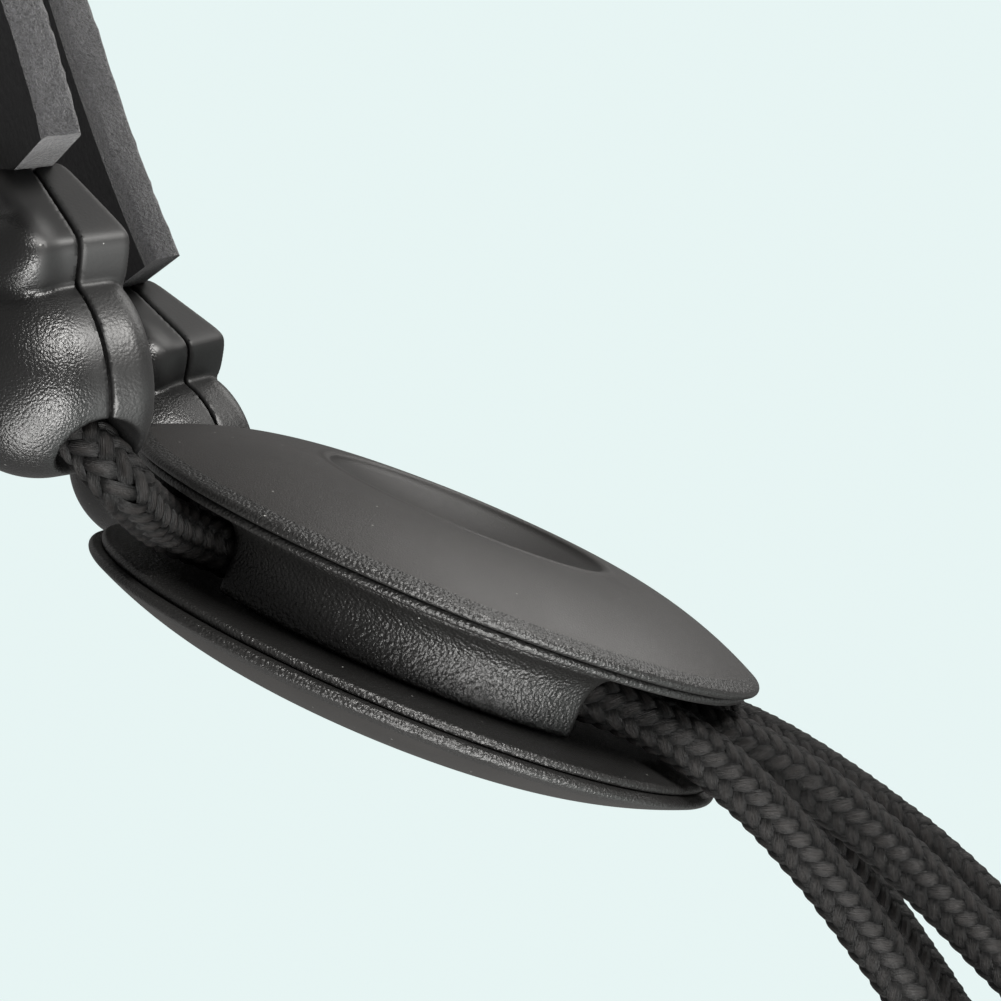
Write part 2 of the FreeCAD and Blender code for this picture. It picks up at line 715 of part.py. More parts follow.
# How the four strands below the slider hang, from the slider's centre.
STRAND_OUTER_RIGHT = [(11.4, 13.0, -20.6), (11.2, 15.0, -30), (10.8, 15.6, -42),
                      (10.0, 15.2, -56), (9.2, 15.5, -71)]
STRAND_INNER_RIGHT = [(4.8, 12.1, -18.1), (4.8, 17.0, -25.8), (4.7, 20.2, -35),
                      (4.6, 22.4, -47), (4.6, 23.9, -60), (4.8, 24.8, -73)]
STRAND_INNER_LEFT = [(-4.8, 12.2, -18.0), (-4.9, 17.2, -26.2), (-5.0, 20.6, -34.5),
                     (-5.0, 23.8, -45), (-4.9, 25.4, -58), (-4.9, 25.6, -72)]
STRAND_OUTER_LEFT = [(-11.4, 13.4, -21.0), (-11.2, 15.6, -31), (-10.7, 16.3, -43.5),
                     (-10.0, 16.0, -57.5), (-9.2, 15.7, -71.5)]


def cord_upper(name, side):
    """Cord from the end knot out of a clamp and into its outer channel."""
    place = clamp_place(side)
    forward = -number("hole_forward")
    points = [place.multVec(vector(0, forward, 3.0)), place.multVec(vector(0, forward, -2.4))]
    points += [on_slider(*point) for point in UPPER_ROUTES[side]]
    points.append(on_slider(side * number("outer_channel"), 0, 0))
    return plain(name, tube(points))


def bar_turn(side):
    """Two corners of the cord's half turn under the bar, from the front to the back."""
    reach = number("bar_radius") + number("cord_diameter") / 2 + number("bar_play")
    back, low = number("eye_behind"), -number("eye_below") - reach
    return [hung(side * 8.0, back - reach, low), hung(side * 5.6, back + reach, low)]


def cord_lower():
    """Cord from one outer channel, under the bar, round the post, under the bar again and back."""
    outer, inner = number("outer_channel"), number("inner_channel")
    turn = number("loop_centre") - inner
    out_right = [on_slider(outer, 0, 0), on_slider(outer, 9, 0), on_slider(outer, 16.5, 0.6)]
    out_left = [on_slider(-outer, 16.6, 0.6), on_slider(-outer, 9, 0), on_slider(-outer, 0, 0)]
    points = out_right + [hung(*point) for point in STRAND_OUTER_RIGHT]
    points += bar_turn(1)
    first_turn = len(points) - 2
    points += [hung(*point) for point in reversed(STRAND_INNER_RIGHT)]
    points.append(on_slider(inner, 14, 0.15))
    points += [on_slider(inner, turn, 0), on_slider(-inner, turn, 0)]
    post_turn = len(points) - 2
    points.append(on_slider(-inner, 14, 0.15))
    points += [hung(*point) for point in STRAND_INNER_LEFT]
    points += reversed(bar_turn(-1))
    second_turn = len(points) - 2
    points += [hung(*point) for point in reversed(STRAND_OUTER_LEFT)] + out_left
    bar_arc = number("bar_radius") + number("cord_diameter") / 2 + number("bar_play")
    radii = {post_turn: inner - 0.01, post_turn + 1: inner - 0.01}
    for index in (first_turn, second_turn):
        radii[index] = radii[index + 1] = bar_arc
    return plain("cord_lower", tube(points, radii))


# ---------------------------------------------------------------- hook

HOOK = FreeCAD.Placement(
    SLIDER.Base + vector(0, number("eye_behind"), -number("eye_below")), FreeCAD.Rotation())
eye_bottom = -(size("eye_base_drop") + size("eye_base"))
head_top = eye_bottom - size("washer")
bend_rise = head_top - size("hook_drop")
gate_pivot = (size("hook_half") - 0.8, bend_rise + size("gate_rise"))


def cord_eye():
    """U-shaped eye whose round bar carries the cord, with a bored base for the swivel pin."""
    body = new_body("cord_eye")
    sketch = sketch_on(body, "XZ_Plane", "eye_outline")
    inside, outside = size("eye_half"), size("eye_half") + size("cheek")
    depth, top = size("eye_depth"), size("eye_depth") / 2
    foot, floor = size("hook_head_radius") + 1.4, -size("eye_base_drop")
    outline(sketch, [
        (outside, top), (outside, floor * 0.55), (foot, eye_bottom), (-foot, eye_bottom),
        (-outside, floor * 0.55), (-outside, top), (-inside, top), (-inside, floor * 0.5),
        (-foot, floor), (foot, floor), (inside, floor * 0.5), (inside, top)])
    pad(body, sketch, "eye_frame", depth, symmetric=True)
    rounded(body, "eye_tops", depth / 2 - 0.1,
            lambda edge, middle: abs(middle.z - top.number) < 0.01
            and abs(abs(middle.y) - top.number) < 0.01)
    rounded(body, "eye_corners", 2,
            lambda edge, middle: edge.BoundBox.XLength + edge.BoundBox.ZLength < 0.01
            and abs(abs(middle.x) - outside.number) < 0.01 and middle.z < 0)
    shaped(body, "AdditiveCylinder", "cord_bar", (-inside - size("cheek") / 2, 0, 0),
           rotation=FreeCAD.Rotation(vector(0, 1, 0), 90),
           Radius=size("bar_radius"), Height=inside * 2 + size("cheek"))
    shaped(body, "SubtractiveCylinder", "pin_bore", (0, 0, eye_bottom - 1),
           Radius=size("pin_radius") + size("pin_play"), Height=size("eye_base") + 2)
    shaped(body, "SubtractiveCylinder", "pin_recess", (0, 0, floor - 1),
           Radius=size("pin_head_radius") + 0.2, Height=3)
    body.Placement = HOOK
    return body


def swivel_pin():
    """Headed pin: its head turns in the eye's base, its foot is fast in the hook's head."""
    head_foot = -number("eye_base_drop") - 1
    foot = float(head_top) - number("hook_head") + 1.5
    head = Part.makeCylinder(number("pin_head_radius"), number("pin_head"),
                             vector(0, 0, head_foot))
    top_edge = [edge for edge in head.Edges
                if abs(edge.CenterOfMass.z - head_foot - number("pin_head")) < 0.01]
    head = head.makeFillet(0.5, top_edge[:1])
    shank = Part.makeCylinder(number("pin_radius"), head_foot - foot, vector(0, 0, foot))
    pin = plain("swivel_pin", head.fuse(shank))
    pin.Placement = HOOK
    return pin


def swivel_washer():
    """Washer between the eye and the hook's head."""
    ring = Part.makeCylinder(number("hook_head_radius"), number("washer"),
                             vector(0, 0, float(head_top)))
    bore = Part.makeCylinder(number("pin_radius") + 0.1, number("washer"),
                             vector(0, 0, float(head_top)))
    washer = plain("swivel_washer", ring.cut(bore))
    washer.Placement = HOOK
    return washer


def spine(points, radius_at):
    """Path of straight runs with the given rounding at each inner corner."""
    edges, here = [], points[0]
    for index in range(1, len(points) - 1):
        before, corner, after = points[index - 1], points[index], points[index + 1]
        inward, outward = corner - before, after - corner
        half_turn = inward.getAngle(outward) / 2
        reach = radius_at[index - 1] * math.tan(half_turn)
        start = corner - inward.normalize() * reach
        end = corner + outward.normalize() * reach
        bulge = (start + end - corner * 2).normalize()
        middle = corner + bulge * (radius_at[index - 1] * (1 / math.cos(half_turn) - 1))
        if (start - here).Length > 1e-6:
            edges.append(Part.LineSegment(here, start).toShape())
        edges.append(Part.Arc(start, middle, end).toShape())
        here = end
    edges.append(Part.LineSegment(here, points[-1]).toShape())
    return Part.Wire(edges)


def hook_body():
    """Round-section hook under a turned head, with a forked arm for the gate."""
    half, wire = number("hook_half"), number("hook_wire") / 2
    top, bend = float(head_top), float(bend_rise)
    head_foot = top - number("hook_head")
    head = Part.makeCylinder(number("hook_head_radius"), number("hook_head"),
                             vector(0, 0, head_foot))
    head = head.makeFillet(0.9, [edge for edge in head.Edges if edge.Closed])
    tip = vector(half, 0, bend + 2.5)
    low = bend - half
    path = spine([vector(0, 0, head_foot + 2.5), vector(0, 0, head_foot - 1),
                  vector(-half, 0, head_foot - 7), vector(-half, 0, low),
                  vector(half, 0, low), tip], [3, 7, half - 0.01, half - 0.01])
    first = path.Edges[0]
    way = first.tangentAt(first.FirstParameter)
    section = Part.Face(Part.Wire(Part.makeCircle(wire, first.valueAt(first.FirstParameter), way)))
    shape = head.fuse(path.makePipe(section)).fuse(Part.makeSphere(wire, tip))
    across, rise = float(gate_pivot[0]), float(gate_pivot[1])
    ear = number("gate_width") / 2 + number("spring_wire") + 0.4
    arm_start = vector(0, 0, head_foot + 1.5)
    arm_way = vector(across, 0, rise + 0.6) - arm_start
    arm = Part.makeCone(wire, wire * 0.85, arm_way.Length, arm_start, arm_way)
    knuckle = Part.makeCylinder(number("knuckle"), 2 * ear + 2.4,
                                vector(across, -ear - 1.2, rise), vector(0, 1, 0))
    slot = Part.makeBox(2 * number("knuckle") + 4, 2 * ear, 3 * number("knuckle"),
                        vector(across - number("knuckle") - 1.2, -ear,
                               rise - 2 * number("knuckle") - 0.4))
    bore = Part.makeCylinder(number("gate_pin_radius"), 2 * ear + 4,
                             vector(across, -ear - 2, rise), vector(0, 1, 0))
    pin_bore = Part.makeCylinder(number("pin_radius"), number("hook_head") - 1.5,
                                 vector(0, 0, head_foot + 1.5))
    shape = shape.fuse(arm).fuse(knuckle).cut(slot).cut(bore).cut(pin_bore)
    hook = plain("hook_body", shape)
    hook.Placement = HOOK
    return hook


def gate_shape():
    """Flat bar hung from the pivot, its foot inside the hook's tip."""
    across, rise = float(gate_pivot[0]), float(gate_pivot[1])
    width, thick = number("gate_width"), number("gate_thickness")
    foot_across = number("hook_half") - number("hook_wire") / 2 - thick / 2 - 0.65
    foot_rise = float(bend_rise) + 1.2
    eye = Part.makeCylinder(thick / 2 + 0.5, width, vector(across, -width / 2, rise),
                            vector(0, 1, 0))
    way = vector(foot_across - across, 0, foot_rise - rise)
    side = vector(way.z, 0, -way.x).normalize() * (thick / 2)
    top, foot = vector(across, -width / 2, rise), vector(foot_across, -width / 2, foot_rise)
    edges = [Part.LineSegment(top + side, foot + side).toShape(),
             Part.Arc(foot + side, foot + vector(way).normalize() * (thick / 2),
                      foot - side).toShape(),
             Part.LineSegment(foot - side, top - side).toShape(),
             Part.LineSegment(top - side, top + side).toShape()]
    bar = Part.Face(Part.Wire(edges)).extrude(vector(0, width, 0))
    bore = Part.makeCylinder(number("gate_pin_radius") + 0.06, width + 2,
                             vector(across, -width / 2 - 1, rise), vector(0, 1, 0))
    return bar.fuse(eye).cut(bore)


def hook_gate():
    gate = plain("hook_gate", gate_shape())
    gate.Placement = HOOK
    return gate


def gate_pin():
    across, rise = float(gate_pivot[0]), float(gate_pivot[1])
    ear = number("gate_width") / 2 + number("spring_wire") + 1.6
    pin = plain("gate_pin", Part.makeCylinder(
        number("gate_pin_radius"), 2 * ear, vector(across, -ear, rise), vector(0, 1, 0)))
    pin.Placement = HOOK
    return pin


def gate_spring():
    """Coil on the gate pin beside the gate."""
    across, rise = float(gate_pivot[0]), float(gate_pivot[1])
    start = vector(across, number("gate_width") / 2 + 0.1, rise)
    wire = number("spring_wire")
    coil = Part.makeCylinder(number("gate_pin_radius") + 0.9, wire, start, vector(0, 1, 0))
    coil = coil.cut(Part.makeCylinder(number("gate_pin_radius") + 0.06, wire, start,
                                      vector(0, 1, 0)))
    spring = plain("gate_spring", coil)
    spring.Placement = HOOK
    return spring


# ---------------------------------------------------------------- the strap

right, left = clamp_place(1), clamp_place(-1)
pieces = [
    neck_band(), neck_pad(),
    clamp_front("right_clamp_front_shell", right), clamp_back("right_clamp_back_shell", right),
    clamp_front("left_clamp_front_shell", left), clamp_back("left_clamp_back_shell", left),
    end_knot("right_end_knot", right), end_knot("left_end_knot", left),
    cord_upper("cord_upper_right", 1), cord_upper("cord_upper_left", -1), cord_lower(),
    slider_cap("back_cap"), guide_body(), cover_plate(),
    slider_cap("front_cap", turned_over=True), cover_screws(),
    cord_eye(), swivel_pin(), swivel_washer(), hook_body(), hook_gate(), gate_pin(),
    gate_spring(),
]
doc.recompute()
for item in doc.Objects:
    if "Invalid" in item.State or "Error" in item.State:
        raise RuntimeError("%s failed to build" % item.Name)
for piece in pieces:
    if piece.Shape.isNull() or not piece.Shape.isValid():
        raise RuntimeError("%s has no valid shape" % piece.Label)

os.makedirs("parts", exist_ok=True)
for piece in pieces:
    piece.Shape.exportStep(os.path.join("parts", piece.Label + ".step"))
    print("%-26s %d solids %9.1f mm3" % (
        piece.Label, len(piece.Shape.Solids), piece.Shape.Volume))
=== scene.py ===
"""Looks of a wind instrument neck strap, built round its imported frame. Shapes are in millimetres
in their own frames, and `placed` takes them to metres in the row frame."""
import math

import bpy
import numpy as np
from mathutils import Matrix, Vector


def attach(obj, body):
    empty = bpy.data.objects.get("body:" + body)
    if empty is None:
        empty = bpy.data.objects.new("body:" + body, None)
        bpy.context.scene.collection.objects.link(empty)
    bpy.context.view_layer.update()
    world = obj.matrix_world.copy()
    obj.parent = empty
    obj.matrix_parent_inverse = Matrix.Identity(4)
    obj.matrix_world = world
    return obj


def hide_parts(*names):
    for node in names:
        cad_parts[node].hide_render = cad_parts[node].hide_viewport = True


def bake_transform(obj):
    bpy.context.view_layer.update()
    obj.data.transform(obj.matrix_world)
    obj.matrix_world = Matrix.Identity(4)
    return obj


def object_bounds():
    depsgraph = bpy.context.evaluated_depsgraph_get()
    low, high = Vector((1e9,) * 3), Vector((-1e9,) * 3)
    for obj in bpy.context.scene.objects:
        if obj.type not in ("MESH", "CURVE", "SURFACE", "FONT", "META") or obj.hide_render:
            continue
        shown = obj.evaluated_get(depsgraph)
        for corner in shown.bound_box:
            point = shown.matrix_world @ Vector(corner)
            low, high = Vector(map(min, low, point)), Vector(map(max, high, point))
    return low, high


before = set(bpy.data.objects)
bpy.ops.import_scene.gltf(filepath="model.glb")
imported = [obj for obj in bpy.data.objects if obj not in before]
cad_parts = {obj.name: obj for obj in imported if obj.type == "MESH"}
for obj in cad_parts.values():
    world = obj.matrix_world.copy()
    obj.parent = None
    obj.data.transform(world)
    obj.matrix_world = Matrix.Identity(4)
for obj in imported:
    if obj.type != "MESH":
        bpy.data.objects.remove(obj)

cad_box = [list(corner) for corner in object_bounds()]
MM = 0.001


# ---------------------------------------------------------------- places

def turned(degrees, axis):
    return Matrix.Rotation(math.radians(degrees), 4, axis)


# x across the slider, y along its cord towards the hook, z out of its back cap
SLIDER_MIDDLE = (0, -124, -200)
CORD_DIP = 57.6
SLIDER = Matrix.Translation(SLIDER_MIDDLE) @ turned(-CORD_DIP, "X")

# clamp's foot from the slider's middle, then its turn, lean and roll in degrees;
# side 1 is at the right as seen from the front, where x is above 0
CLAMPS = {
    1: ((22.0, -11.4, 26.0), (36, -22.7, 0)),
    -1: ((-22.5, -14.6, 16.9), (46, -15.5, 2)),
}
# cord hole in a clamp: where it starts inside, and its way out
HOLE_START = Vector((0, -3.2, 6.4))
HOLE_WAY = Vector((0.35, 0.30, -0.87)).normalized()


def clamp_place(side):
    """Frame of a clamp: x across its face, y to the back, z up its seam."""
    foot, (turn, lean, roll) = CLAMPS[side]
    return (Matrix.Translation(SLIDER.translation + Vector(foot))
            @ turned(turn, "Z") @ turned(lean, "X") @ turned(roll, "Y"))


def placed(points, place):
    """Points in millimetres in a frame of their own, as metres in the row frame."""
    turn = np.array(place.to_3x3())
    return (np.asarray(points) @ turn.T + np.array(place.translation)) * MM


def lumps(points, length, seed, waves=24):
    """Smooth random field, about -1 to 1, with bumps about `length` across."""
    random = np.random.default_rng(seed)
    ways = random.normal(size=(waves, 3))
    ways /= np.linalg.norm(ways, axis=1)[:, None]
    ways *= (math.pi / length) * random.uniform(0.6, 1.5, (waves, 1))
    return np.sin(points @ ways.T + random.uniform(0, 6.28, waves)).sum(axis=1) / math.sqrt(waves)


# ---------------------------------------------------------------- meshes

def piece(name, points, faces, materials, crease=50, picks=None, marks=None, across=None):
    """A shown mesh: `picks` is a material per face, `marks` named numbers per point."""
    mesh = bpy.data.meshes.new(name)
    mesh.from_pydata(np.asarray(points).tolist(), [], faces)
    mesh.polygons.foreach_set("use_smooth", [True] * len(mesh.polygons))
    for material in materials:
        mesh.materials.append(material)
    if picks is not None:
        mesh.polygons.foreach_set("material_index", picks)
    for key, values in (marks or {}).items():
        layer = mesh.attributes.new(key, "FLOAT", "POINT")
        layer.data.foreach_set("value", np.asarray(values, dtype=np.float32))
    if across is not None:
        corners = np.empty(len(mesh.loops), dtype=np.int32)
        mesh.loops.foreach_get("vertex_index", corners)
        layer = mesh.uv_layers.new(name="across")
        layer.data.foreach_set("uv", np.asarray(across, dtype=np.float32)[corners].ravel())
    if crease < 180:
        mesh.set_sharp_from_angle(angle=math.radians(crease))
    mesh.validate()
    thing = bpy.data.objects.new(name, mesh)
    bpy.context.scene.collection.objects.link(thing)
    return thing


def grid_faces(rows, columns, closed_rows=False, closed_columns=True):
    """Quads between the rows of a grid of points."""
    faces = []
    for row in range(rows if closed_rows else rows - 1):
        after = (row + 1) % rows
        for column in range(columns if closed_columns else columns - 1):
            beside = (column + 1) % columns
            faces.append((row * columns + column, row * columns + beside,
                          after * columns + beside, after * columns + column))
    return faces


def lathe(profile, steps):
    """A profile of (radius, height) points turned round the z axis; ends on the axis are closed."""
    profile = np.asarray(profile)
    angles = np.linspace(0, 2 * math.pi, steps, endpoint=False)
    radius, height = profile[:, :1], profile[:, 1:]
    points = np.stack([radius * np.cos(angles), radius * np.sin(angles),
                       height + 0 * angles], axis=-1)
    return points.reshape(-1, 3), grid_faces(len(profile), steps)


def arc(start, end, radius, steps=12):
    """Points from start to end on an arc; a positive radius turns left."""
    start, end = np.array(start, float), np.array(end, float)
    chord = end - start
    half = np.linalg.norm(chord) / 2
    left = np.array([-chord[1], chord[0]]) / (2 * half)
    rise = math.sqrt(max(radius * radius - half * half, 0)) * (1 if radius > 0 else -1)
    centre = (start + end) / 2 + left * rise
    first = math.atan2(*(start - centre)[::-1])
    sweep = 2 * math.asin(min(half / abs(radius), 1)) * (1 if radius > 0 else -1)
    angles = first + sweep * np.linspace(0, 1, steps)
    return [tuple(centre + abs(radius) * np.array([math.cos(a), math.sin(a)])) for a in angles]


def skin(distance, low, high, step):
    """Mesh of the surface where `distance` is zero, inside a box, by surface nets."""
    low, high = np.array(low, float), np.array(high, float)
    counts = np.ceil((high - low) / step).astype(int) + 1
    lines = [low[axis] + step * np.arange(counts[axis]) for axis in range(3)]
    grid = np.stack(np.meshgrid(*lines, indexing="ij"), axis=-1)
    inside = distance(grid.reshape(-1, 3)).reshape(counts) < 0
    full = np.zeros(counts - 1, dtype=int)
    for corner in np.ndindex(2, 2, 2):
        full += inside[tuple(slice(c, n - 1 + c) for c, n in zip(corner, counts))]
    mixed = (full > 0) & (full < 8)
    number = np.full(counts - 1, -1)
    number[mixed] = np.arange(mixed.sum())
    points = grid[:-1, :-1, :-1][mixed] + step / 2
    for turn in range(8):
        value = distance(points)
        slope = np.stack([distance(points + shift) - distance(points - shift)
                          for shift in np.eye(3) * step * 0.05], axis=-1) / (step * 0.1)
        size = np.maximum((slope ** 2).sum(axis=1), 0.05)
        move = -slope * (value / size)[:, None]
        points += np.clip(move, -step * 0.5, step * 0.5)
    faces = []
    for axis in range(3):
        others = [other for other in range(3) if other != axis]
        here = inside.take(range(counts[axis] - 1), axis)
        after = inside.take(range(1, counts[axis]), axis)
        cut = np.argwhere(here != after)
        cut = cut[(cut[:, others] > 0).all(axis=1)
                  & (cut[:, others] < counts[others] - 1).all(axis=1)]
        ring = []
        for back in ((1, 1), (0, 1), (0, 0), (1, 0)):
            cell = cut.copy()
            cell[:, others] -= back
            ring.append(number[tuple(cell.T)])
        ring = np.stack(ring, axis=1)
        flip = here[tuple(cut.T)] == (axis == 1)
        ring[flip] = ring[flip][:, ::-1]
        faces += ring.tolist()
    return points, faces


# ---------------------------------------------------------------- distances

def joined(a, b, reach):
    """Union of two solids with a fillet about `reach` wide."""
    blend = np.clip(0.5 + 0.5 * (b - a) / reach, 0, 1)
    return b * (1 - blend) + a * blend - reach * blend * (1 - blend)


def cut_by(a, b, reach):
    return -joined(-a, b, reach)


def both(a, b, radius):
    """Where two solids overlap, with the edge between square faces rounded."""
    a, b = a + radius, b + radius
    outside = np.hypot(np.maximum(a, 0), np.maximum(b, 0))
    return np.minimum(np.maximum(a, b), 0) + outside - radius


def slabs(planes, across, up, softness):
    """Convex outline from (normal across, normal up, reach) planes, its corners softened."""
    far = []
    for way_across, way_up, reach in planes:
        size = math.hypot(way_across, way_up)
        far.append((across * way_across + up * way_up - reach) / size)
    far = np.stack(far) / softness
    top = far.max(axis=0)
    return softness * (top + np.log(np.exp(far - top).sum(axis=0)))


def ball(points, centre, radii):
    """Distance to an ellipsoid, close to true near its surface."""
    away = (points - np.array(centre)) / np.array(radii)
    first = np.linalg.norm(away, axis=1)
    second = np.linalg.norm(away / np.array(radii), axis=1)
    return first * (first - 1) / np.maximum(second, 1e-6)


# ---------------------------------------------------------------- materials

def node(tree, kind, inputs=None, **settings):
    made = tree.nodes.new("ShaderNode" + kind)
    for key, value in settings.items():
        setattr(made, key, value)
    for key, value in (inputs or {}).items():
        if isinstance(value, bpy.types.NodeSocket):
            tree.links.new(value, made.inputs[key])
        else:
            made.inputs[key].default_value = value
    return made


def group(name, inputs, outputs):
    """A shader node group with named inputs: name to (kind, value)."""
    tree = bpy.data.node_groups.new(name, "ShaderNodeTree")
    for key, (kind, value) in inputs.items():
        socket = tree.interface.new_socket(key, in_out="INPUT", socket_type="NodeSocket" + kind)
        if value is not None:
            socket.default_value = value
    for key, kind in outputs.items():
        tree.interface.new_socket(key, in_out="OUTPUT", socket_type="NodeSocket" + kind)
    return tree, tree.nodes.new("NodeGroupInput").outputs, tree.nodes.new("NodeGroupOutput").inputs


def maths(tree, operation, first, second=0.0, clamp=False):
    return node(tree, "Math", {0: first, 1: second}, operation=operation,
                use_clamp=clamp).outputs[0]


def grain_group():
    """Normal of moulded grain: cells and fine noise, heights in millimetres, times `Amount`."""
    tree, given, out = group("moulded_grain", {
        "Cell": ("Float", 0.3), "Depth": ("Float", 0.03), "Fine": ("Float", 0.004),
        "Amount": ("Float", 1.0)}, {"Normal": "Vector"})
    place = node(tree, "TexCoord").outputs["Object"]
    density = maths(tree, "DIVIDE", 1000.0, given["Cell"])
    warp = node(tree, "TexNoise", {"Vector": place, "Scale": density, "Detail": 1.0})
    cells = node(tree, "TexVoronoi", {
        "Vector": node(tree, "VectorMath", {0: place, 1: node(
            tree, "VectorMath", {0: warp.outputs["Color"], "Scale": 0.00016},
            operation="SCALE").outputs[0]}, operation="ADD").outputs[0],
        "Scale": density, "Smoothness": 0.35}, feature="SMOOTH_F1")
    fine = node(tree, "TexNoise", {
        "Vector": place, "Scale": maths(tree, "MULTIPLY", density, 2.6), "Detail": 2.0})
    dome = maths(tree, "SUBTRACT", 1.0, cells.outputs["Distance"])
    mixed = maths(tree, "ADD", dome, maths(tree, "MULTIPLY", warp.outputs["Fac"], 0.9))
    height = maths(tree, "ADD", maths(tree, "MULTIPLY", mixed, given["Depth"]),
                   maths(tree, "MULTIPLY", fine.outputs["Fac"], given["Fine"]))
    bump = node(tree, "Bump", {"Strength": given["Amount"], "Distance": 0.001, "Height": height})
    tree.links.new(bump.outputs[0], out["Normal"])
    return tree


def dust_group():
    """Colour and roughness that vary a little over a black surface, with rare pale specks."""
    tree, given, out = group("handled_black", {
        "Colour": ("Color", (0.02, 0.02, 0.02, 1)), "Roughness": ("Float", 0.4),
        "Specks": ("Float", 0.5)}, {"Colour": "Color", "Roughness": "Float"})
    place = node(tree, "TexCoord").outputs["Object"]
    cloud = node(tree, "TexNoise", {"Vector": place, "Scale": 160.0, "Detail": 4.0})
    specks = node(tree, "TexVoronoi", {"Vector": place, "Scale": 700.0})
    dot = maths(tree, "LESS_THAN", specks.outputs["Distance"], 0.06)
    rare = maths(tree, "GREATER_THAN", node(
        tree, "SeparateColor", {0: specks.outputs["Color"]}).outputs[0], 0.8)
    pale = maths(tree, "MULTIPLY", maths(tree, "MULTIPLY", dot, rare), given["Specks"])
    shade = maths(tree, "ADD", maths(tree, "MULTIPLY", cloud.outputs["Fac"], 0.5), 0.75)
    base = node(tree, "Mix", {0: 1.0, "A": given["Colour"], "B": node(
        tree, "CombineColor", {0: shade, 1: shade, 2: shade}).outputs[0]},
        data_type="RGBA", blend_type="MULTIPLY")
    colour = node(tree, "Mix", {0: pale, "B": (0.5, 0.5, 0.48, 1)}, data_type="RGBA")
    tree.links.new(base.outputs["Result"], colour.inputs["A"])
    rough = maths(tree, "ADD", given["Roughness"], maths(
        tree, "MULTIPLY", maths(tree, "SUBTRACT", cloud.outputs["Fac"], 0.5), 0.16))
    tree.links.new(colour.outputs["Result"], out["Colour"])
    tree.links.new(rough, out["Roughness"])
    return tree


GRAIN, DUST = grain_group(), dust_group()


def material(name, specular=0.5):
    made = bpy.data.materials.new(name)
    made.use_nodes = True
    tree = made.node_tree
    shader = tree.nodes["Principled BSDF"]
    shader.inputs["Specular IOR Level"].default_value = specular
    return made, tree, shader


def plastic(name, colour, roughness, cell, depth, fine, specks=0.4, mark=None, specular=0.5):
    """Moulded black plastic; with a mark, the grain shows only where the mark is 1."""
    made, tree, shader = material(name, specular)
    grain = node(tree, "Group", {}, node_tree=GRAIN)
    for key, value in (("Cell", cell), ("Depth", depth), ("Fine", fine)):
        grain.inputs[key].default_value = value
    if mark:
        weight = node(tree, "Attribute", attribute_name=mark).outputs["Fac"]
        tree.links.new(weight, grain.inputs["Amount"])
    dust = node(tree, "Group", {"Colour": colour + (1,), "Roughness": roughness,
                                "Specks": specks}, node_tree=DUST)
    tree.links.new(dust.outputs["Colour"], shader.inputs["Base Color"])
    rough = dust.outputs["Roughness"]
    if mark:
        rough = maths(tree, "ADD", rough, maths(
            tree, "MULTIPLY", maths(tree, "SUBTRACT", 1.0, weight, True), 0.22))
    tree.links.new(rough, shader.inputs["Roughness"])
    tree.links.new(grain.outputs["Normal"], shader.inputs["Normal"])
    return made


def braid_material():
    """Twisted-filament bundles: fine lines along each bundle, with painted shade in the folds between
    bundles, where a bundle dips under another and on the core.
    """
    made, tree, shader = material("braided_cord", 0.26)
    flat = node(tree, "SeparateXYZ", {0: node(tree, "UVMap", uv_map="across").outputs[0]})
    line = node(tree, "CombineXYZ", {"X": maths(tree, "MULTIPLY", flat.outputs[0], 9.0),
                                     "Y": maths(tree, "MULTIPLY", flat.outputs[1], 0.35)})
    threads = node(tree, "TexNoise", {"Vector": line.outputs[0], "Scale": 1.6, "Detail": 3.0,
                                      "Roughness": 0.65})
    place = node(tree, "TexCoord").outputs["Object"]
    cloud = node(tree, "TexNoise", {"Vector": place, "Scale": 420.0, "Detail": 2.0})
    painted_fold_light = node(tree, "Attribute", attribute_name="painted_fold_light").outputs["Fac"]
    # painted shade: the colour darkens towards a bundle's edges, where it dips under another and on
    # the core between bundles
    light = maths(tree, "MULTIPLY", threads.outputs["Fac"], maths(
        tree, "POWER", painted_fold_light, 2.2))
    tone = node(tree, "ValToRGB", {"Fac": maths(tree, "ADD", light, maths(
        tree, "MULTIPLY", maths(tree, "SUBTRACT", cloud.outputs["Fac"], 0.5), 0.25))})
    ends = tone.color_ramp.elements
    ends[0].position, ends[0].color = 0.22, (0.0006, 0.0006, 0.0006, 1)
    ends[1].position, ends[1].color = 0.80, (0.021, 0.0185, 0.0175, 1)
    bump = node(tree, "Bump", {"Strength": 1.0, "Distance": 0.00022,
                               "Height": threads.outputs["Fac"]})
    tree.links.new(tone.outputs[0], shader.inputs["Base Color"])
    tree.links.new(maths(tree, "ADD", 0.36, maths(
        tree, "MULTIPLY", threads.outputs["Fac"], 0.25)), shader.inputs["Roughness"])
    tree.links.new(bump.outputs[0], shader.inputs["Normal"])
    return made


def leather(name, colour, paler, roughness, pore, depth, fibre):
    """Leather: `fibre` 0 is smooth grain side, 1 is the raw fibrous cut."""
    made, tree, shader = material(name, 0.25)
    place = node(tree, "TexCoord").outputs["Object"]
    density = 1000.0 / pore
    pores = node(tree, "TexVoronoi", {"Vector": place, "Scale": density}, feature="F1")
    fuzz = node(tree, "TexNoise", {"Vector": place, "Scale": density * 1.7, "Detail": 5.0,
                                   "Roughness": 0.7, "Distortion": 1.2})
    height = maths(tree, "ADD", maths(tree, "MULTIPLY", pores.outputs["Distance"], 0.6),
                   maths(tree, "MULTIPLY", fuzz.outputs["Fac"], 0.5 + fibre))
    tone = node(tree, "ValToRGB", {"Fac": fuzz.outputs["Fac"]})
    ends = tone.color_ramp.elements
    ends[0].position, ends[0].color = 0.42, colour + (1,)
    ends[1].position, ends[1].color = 0.42 + 0.24, paler + (1,)
    bump = node(tree, "Bump", {"Strength": 1.0, "Distance": depth * MM, "Height": height})
    tree.links.new(tone.outputs[0], shader.inputs["Base Color"])
    tree.links.new(bump.outputs[0], shader.inputs["Normal"])
    shader.inputs["Roughness"].default_value = roughness
    if fibre:
        shader.inputs["Sheen Weight"].default_value = 0.3
    return made


